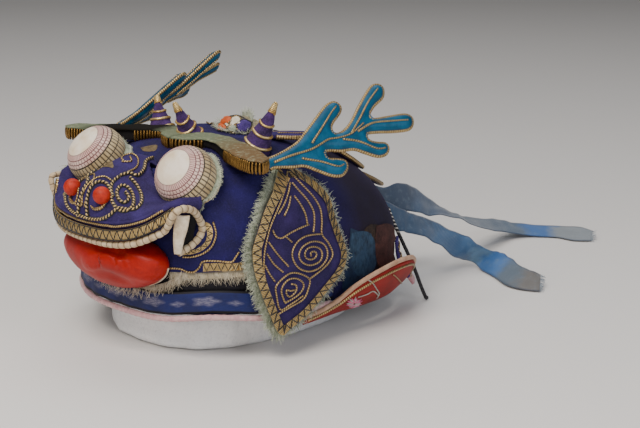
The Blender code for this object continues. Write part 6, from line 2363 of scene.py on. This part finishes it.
class HAT_OT_side_flaps(bpy.types.Operator):
    """Red satin side flaps with a worn hem, embroidered petals and gilt threads"""
    bl_idname = "hat.side_flaps"
    bl_label = "Side Flaps"

    def execute(self, context):
        red = satin("silk_satin_flap", linear("8c120b"), linear("640c07"), linear("a2240f"), 0.5, 12.0,
            0.55,
                    "UV", 0.0)
        # dark brown, partly painted shade for the slit under the mane
        dark = napped_cloth("cotton_brown_lining", linear("4a2c2a"), linear("1f1416"), linear("7a4a40"),
            1.0, 6.0)
        sheet = Stock()
        span = FLAP[-1][0] - FLAP[0][0]

        def where(u, v):
            bearing = FLAP[0][0] + span * u
            point = flap_edge(bearing, v)
            away = Vector((point.x, point.y, 0.0)).normalized()
            wave = 0.5 * noise.noise(Vector((bearing / 9.0, v * 2.0, 1.0))) * v
            return point + away * (1.1 + wave)
        sheet.grid(96, 14, where, 92.0, 22.0)
        right = piece("side_flap_satin_right", sheet, [red], ("side_flap_right",), "red_satin", 1.6, 0.0)
        left = mirrored(right, "side_flap_satin_left", ("side_flap_left",), "red_satin")
        for item in (right, left):
            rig.sheet(item, flat=(0.092, 0.022), held="folded", rests_on=["crown"], area=0.0014)
        tree = carrier("side_flap_satin_right")
        stock = Stock()
        chance = random.Random(9)
        for k in range(26):
            turn = 2 * math.pi * k / 26 + chance.gauss(0, 0.08)
            reach = 8.0 * (0.7 + 0.45 * chance.random())
            stroke = laid([(354 + reach * t * math.cos(turn),
                303.5 - reach * t * math.sin(turn + 0.15) * 0.85)
                           for t in (0.18, 0.6, 1.0)], tree, 0.3, 0.8)
            if len(stroke) > 2:
                stock.sweep(stroke, lambda s: 0.55 * math.sin(math.pi * (0.15 + 0.8 * s)), 5,
                    slot=1 if k % 3 else 2)
        laid_patch(stock, FLAP_LEAF, tree, 0.15, 0.25, 2, 3, 20)
        for marks in FLAP_STEMS:
            stock.sweep(laid(marks, tree, 0.25, 0.8), 0.35, 5, slot=2)
        for marks in FLAP_THREADS:
            path = laid(marks, tree, 0.4, 0.8)
            if len(path) > 2:
                stock.sweep(path, 0.35, 5)
        line = []
        for i in range(61):
            share = i / 60
            point = where(0.03 + 0.94 * share, 0.86)
            away = Vector((point.x, point.y, 0.0)).normalized()
            line.append(point + away * 1.1)
        stock.sweep(line, millimetres("gilt_cord") * 0.7, 8)
        pink = satin("silk_thread_pink", linear("cf6a8c"), linear("a83a62"), linear("efb9c4"), 0.5, 2.0,
            0.4, "Object")
        grey = satin("silk_thread_grey", linear("a9a9a0"), linear("6f746c"), linear("d2d2c8"), 0.5, 2.0,
            0.4, "Object")
        right = piece("flap_embroidery_right", stock, [gilt_cord_finish(), pink, grey], (), "gold_wrap")
        mirrored(right, "flap_embroidery_left", (), "gold_wrap")

        piping = Stock()
        path = []
        for i in range(97):
            bearing = FLAP[0][0] + span * i / 96
            edge = flap_edge(bearing, 1.0)
            inner = flap_edge(bearing, 0.9)
            away = Vector((edge.x, edge.y, 0.0)).normalized()
            path.append(edge + (edge - inner).normalized() * 1.4 + away * 1.0)
        piping.sweep(path, lambda s: 1.25 + 0.12 * noise.noise(Vector((s * 40.0, 0.0, 2.0))), 12)
        beige = plain_thread("silk_piping_beige_pink", linear("a07a60"), linear("bf9d82"), 5.0, 0.55, 0.1)
        right = piece("flap_piping_silk_right", piping, [beige], ("flap_piping_right",), "piping_cloth")
        mirrored(right, "flap_piping_silk_left", ("flap_piping_left",), "piping_cloth")

        # Faded blue lining and a dark brown patch between the flap and the nape; the brown is partly painted shade,
        # laid in the slit under the mane where shade falls
        tree = carrier("crown_wool")
        patches = Stock()
        laid_patch(patches, [(351, 233), (364, 231), (374, 238), (376, 256), (373, 270), (362, 276),
            (352, 272),
                             (349, 254)], tree, 0.5, 0.4, 0, 5, 30)
        laid_patch(patches, [(375, 226), (388, 224), (396, 234), (397, 252), (394, 268), (384, 270),
            (376, 262),
                             (374, 244)], tree, 0.8, 0.4, 1, 5, 30)
        faded = satin("silk_faded_blue_lining", linear("263d56"), linear("0f1826"), linear("5b7890"), 0.9,
            4.0, 0.7,
                      "Object", 0.0)
        piece("nape_linings", patches, [faded, dark], (), "ribbon_satin")
        return {"FINISHED"}


BACK_TAB = [
    (0.0, 54.5, 37.0, 0.8),
    (0.4, 54.5, 28.0, 1.8),
    (0.7, 54.5, 20.0, 5.0),
    (1.0, 54.5, 12.5, 9.5),
]
BACK_TAB_WIDTH = 7.0


class HAT_OT_back_tabs(bpy.types.Operator):
    """Band ends beside the neck opening: violet with gilt bits and a pink end"""
    bl_idname = "hat.back_tabs"
    bl_label = "Back Tabs"

    def execute(self, context):
        violet = napped_cloth("cotton_violet_tab", linear("3b2c74"), linear("201648"), linear("6a58a0"),
            0.8, 5.0)
        pink = satin("silk_pink_tab", linear("c58f93"), linear("94606a"), linear("e3bdb9"), 0.5, 4.0, 0.5,
            "Object")

        def where(u, v):
            bearing = table_value(BACK_TAB, v, 1)
            angle = math.radians(bearing + (u - 0.5) * BACK_TAB_WIDTH)
            point = crown_point(angle, CROWN_SHOULDER - 1.0, table_value(BACK_TAB, v, 3))
            point.z = table_value(BACK_TAB, v, 2)
            return point
        stock = Stock()
        stock.grid(14, 30, where, 11.0, 27.0)
        for i in range(len(stock.slots)):
            stock.slots[i] = 1 if i >= 14 * 25 else 0
        right = piece("back_tab_cotton_right", stock, [violet, pink], ("back_tab_right",), "band_cloth",
            1.4, -1.0)
        mirrored(right, "back_tab_cotton_left", ("back_tab_left",), "band_cloth")
        trim = Stock()

        def over(u, v):
            point = where(u, v)
            return point + Vector((point.x, point.y, 0.0)).normalized() * 1.7
        for v in (0.18, 0.42, 0.66, 0.82):
            trim.sweep([over(0.1 + 0.8 * k / 10, v + 0.02 * math.sin(k)) for k in range(11)], 0.4, 5)
        trim.sweep([over(0.5 + 0.3 * math.sin(k * 0.9), 0.1 + 0.7 * k / 20) for k in range(21)], 0.35, 5)
        right = piece("back_tab_trim_right", trim, [gilt_cord_finish()], (), "gold_wrap")
        mirrored(right, "back_tab_trim_left", (), "gold_wrap")
        return {"FINISHED"}


# Ribbons that leave the nape and end on the table: far edge x, y, z, then near edge x, y, z

RIBBON_LONG = [
    (17.0, 83.0, 60.0, 19.0, 83.0, 47.0),
    (18.0, 95.0, 55.0, 20.0, 93.0, 40.0),
    (19.0, 107.8, 55.7, 23.0, 105.1, 40.7),
    (18.5, 120.5, 50.4, 26.5, 111.5, 39.4),
    (18.0, 133.5, 41.2, 28.0, 121.5, 36.2),
    (16.0, 148.5, 33.0, 27.5, 136.0, 33.0),
    (13.0, 163.0, 25.8, 25.0, 152.0, 27.5),
    (8.5, 178.0, 20.5, 21.5, 169.5, 20.0),
    (4.4, 197.3, 15.0, 17.2, 189.0, 12.0),
    (1.4, 216.3, 10.0, 14.4, 209.3, 6.0),
    (3.5, 229.3, 6.0, 16.3, 221.5, 2.5),
    (10.7, 240.2, 4.0, 22.0, 229.6, 1.0),
    (22.5, 250.0, 3.5, 31.5, 236.5, 0.9),
    (36.3, 252.8, 5.0, 43.0, 238.3, 0.9),
    (46.0, 253.3, 4.5, 50.5, 245.0, 0.9),
]
RIBBON_SHORT = [
    (29.0, 80.0, 54.0, 33.0, 79.0, 40.0),
    (30.0, 95.0, 45.5, 34.5, 89.5, 35.0),
    (30.0, 105.7, 40.5, 36.5, 95.5, 32.5),
    (30.0, 119.2, 34.5, 38.0, 108.5, 27.5),
    (31.5, 134.5, 26.4, 38.0, 121.8, 19.8),
    (35.0, 147.0, 20.0, 34.5, 138.0, 9.0),
    (43.0, 149.5, 15.5, 32.0, 151.0, 4.5),
    (47.0, 155.7, 12.0, 34.5, 155.4, 2.0),
    (53.0, 158.7, 11.0, 44.1, 150.5, 0.9),
    (60.0, 159.0, 8.5, 57.4, 145.4, 0.9),
    (73.0, 152.5, 8.0, 72.0, 138.0, 0.9),
    (80.8, 151.8, 7.5, 83.5, 137.8, 0.9),
    (83.5, 154.5, 6.0, 92.5, 142.2, 0.9),
]


def faded_ribbon(name, tones):
    """Worn silk ribbon; tones are (millimetres along, sRGB) from the nape to the free end."""
    material, tree, shader = blank(name)
    place = add(tree, "SeparateXYZ", {0: add(tree, "TexCoord", out="UV")}, out=None)
    body = add(tree, "TexCoord", out="Object")
    wander = add(tree, "Math", (add(tree, "Math", (add(tree, "TexNoise",
        {"Vector": body, "Scale": 1.0 / (9.0 * MM), "Detail": 4.0, "Roughness": 0.65}), 0.5),
        operation="SUBTRACT"), 22.0), operation="MULTIPLY")
    along = add(tree, "Math", (place.outputs[0], wander), operation="ADD")
    colour = rgba(linear(tones[0][1]))
    for spot, code in tones[1:]:
        colour = add(tree, "Mix", {0: add(tree, "MapRange", (along, spot - 4.0, spot + 4.0)), 6: colour,
            7: linear(code)}, 2, data_type="RGBA")
    worn = add(tree, "MapRange", (add(tree, "TexNoise", {"Vector": body, "Scale": 1.0 / (3.0 * MM),
        "Detail": 5.0, "Roughness": 0.7}), 0.52, 0.78))
    colour = add(tree, "Mix", {0: add(tree, "Math", (worn, 0.45), operation="MULTIPLY"), 6: colour,
        7: linear("71828f")}, 2, data_type="RGBA")
    edge = add(tree, "Math", (add(tree, "Math", (place.outputs[1], 8.0), operation="SUBTRACT"),),
        operation="ABSOLUTE")
    colour = add(tree, "Mix", {0: add(tree, "Math", (add(tree, "MapRange", (edge, 6.8, 7.9)), 0.5),
        operation="MULTIPLY"), 6: colour, 7: linear("1f3350")}, 2, data_type="RGBA")
    tree.links.new(colour, shader.inputs["Base Color"])
    shader.inputs["Roughness"].default_value = 0.48
    shader.inputs["Sheen Weight"].default_value = 0.25
    weft = add(tree, "Math", (add(tree, "Math", (place.outputs[0], 9.0), operation="MULTIPLY"),),
        operation="SINE")
    tree.links.new(add(tree, "Bump", {"Height": add(tree, "Math",
        (weft, add(tree, "Math", (wander, 0.2), operation="MULTIPLY")), operation="ADD"),
        "Distance": 0.08 * MM, "Strength": 0.5}), shader.inputs["Normal"])
    return material


class HAT_OT_ribbons(bpy.types.Operator):
    """Two worn silk ribbons that leave the nape and lie on the table"""
    bl_idname = "hat.ribbons"
    bl_label = "Ribbons"

    def execute(self, context):
        # Silk satin ribbon, blue, faded to grey where it was folded and at its free end
        looks = (
            ("long", RIBBON_LONG, 190.0, [(0, "22364f"), (40, "2f4763"), (75, "4a5b6e"), (118, "42586e"),
                                          (140, "2a5c98"), (160, "7b838a")]),
            ("short", RIBBON_SHORT, 125.0, [(0, "22405f"), (34, "2f567d"), (62, "5d86a8"), (74, "275c96"),
                                            (94, "475868"), (108, "5e5c5a")]),
        )
        for name, table, length, tones in looks:
            far = [Vector(row[:3]) for row in table]
            near = [Vector(row[3:]) for row in table]
            last = len(table) - 1

            def where(u, v):
                point = spline_point(far, last * u).lerp(spline_point(near, last * u), v)
                wave = noise.noise(Vector((u * 22.0, v * 1.6,
                    7.0))) + 0.6 * math.sin(9.0 * v + 30.0 * u) * 0.4
                rise = min(1.0, max(0.0, (point.z - 1.2) / 6.0))
                return point + Vector((0.35 * wave, 0.0, 0.8 * wave * rise + 0.12))
            stock = Stock()
            stock.grid(200, 12, where, length, 16.0)
            item = piece("ribbon_silk_" + name, stock, [faded_ribbon("silk_ribbon_" + name, tones)],
                         ("ribbon_" + name,), "ribbon_satin", 0.45, 0.0)
            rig.sheet(item, flat=(0.016, length * MM), held="laid", rests_on=["floor"], area=length * 16e-6)
            loose = Stock()
            roots = []
            for k in range(17):
                v = k / 16
                tip = where(1.0, v)
                roots.append((tip, (tip - where(0.97, v)).normalized()))
            fray(loose, roots, 3.0, 3.2, 51, 0.0, 0.35, thread=0.3)
            pale = plain_thread("silk_ribbon_fray_" + name, linear("6b7f92"), linear("a9b4bb"), 3.0)
            piece("ribbon_fray_" + name, loose, [pale], (), "ribbon_satin")
        return {"FINISHED"}


# Panel, registration and the whole scene

def operators():
    return [item for item in globals().values()
            if isinstance(item, type) and issubclass(item,
            bpy.types.Operator) and item is not bpy.types.Operator]


class HAT_PT_pieces(bpy.types.Panel):
    """Sizes, colours and one button for each group of pieces"""
    bl_idname = "HAT_PT_pieces"
    bl_label = "Qilin Hat"
    bl_space_type = "VIEW_3D"
    bl_region_type = "UI"
    bl_category = "Qilin Hat"

    def draw(self, context):
        for title, group in (("Sizes", context.scene.hat_sizes), ("Colours", context.scene.hat_colours)):
            box = self.layout.box()
            box.label(text=title)
            for name in group.__annotations__:
                box.prop(group, name)
        column = self.layout.column(align=True)
        for item in operators():
            column.operator(item.bl_idname)


def register():
    for item in [HatSizes, HatColours, HAT_PT_pieces] + operators():
        bpy.utils.register_class(item)
    bpy.types.Scene.hat_sizes = bpy.props.PointerProperty(type=HatSizes)
    bpy.types.Scene.hat_colours = bpy.props.PointerProperty(type=HatColours)


def unregister():
    del bpy.types.Scene.hat_colours
    del bpy.types.Scene.hat_sizes
    for item in reversed([HatSizes, HatColours, HAT_PT_pieces] + operators()):
        bpy.utils.unregister_class(item)


def main():
    register()
    for item in operators():
        getattr(bpy.ops.hat, item.bl_idname.split(".")[1])()
    low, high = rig.bounds()
    with open("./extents.json", "w") as out:
        json.dump({"cad": [list(v) for v in CAD_BOX], "visual": [list(low), list(high)]}, out)


if __name__ == "__main__":
    main()
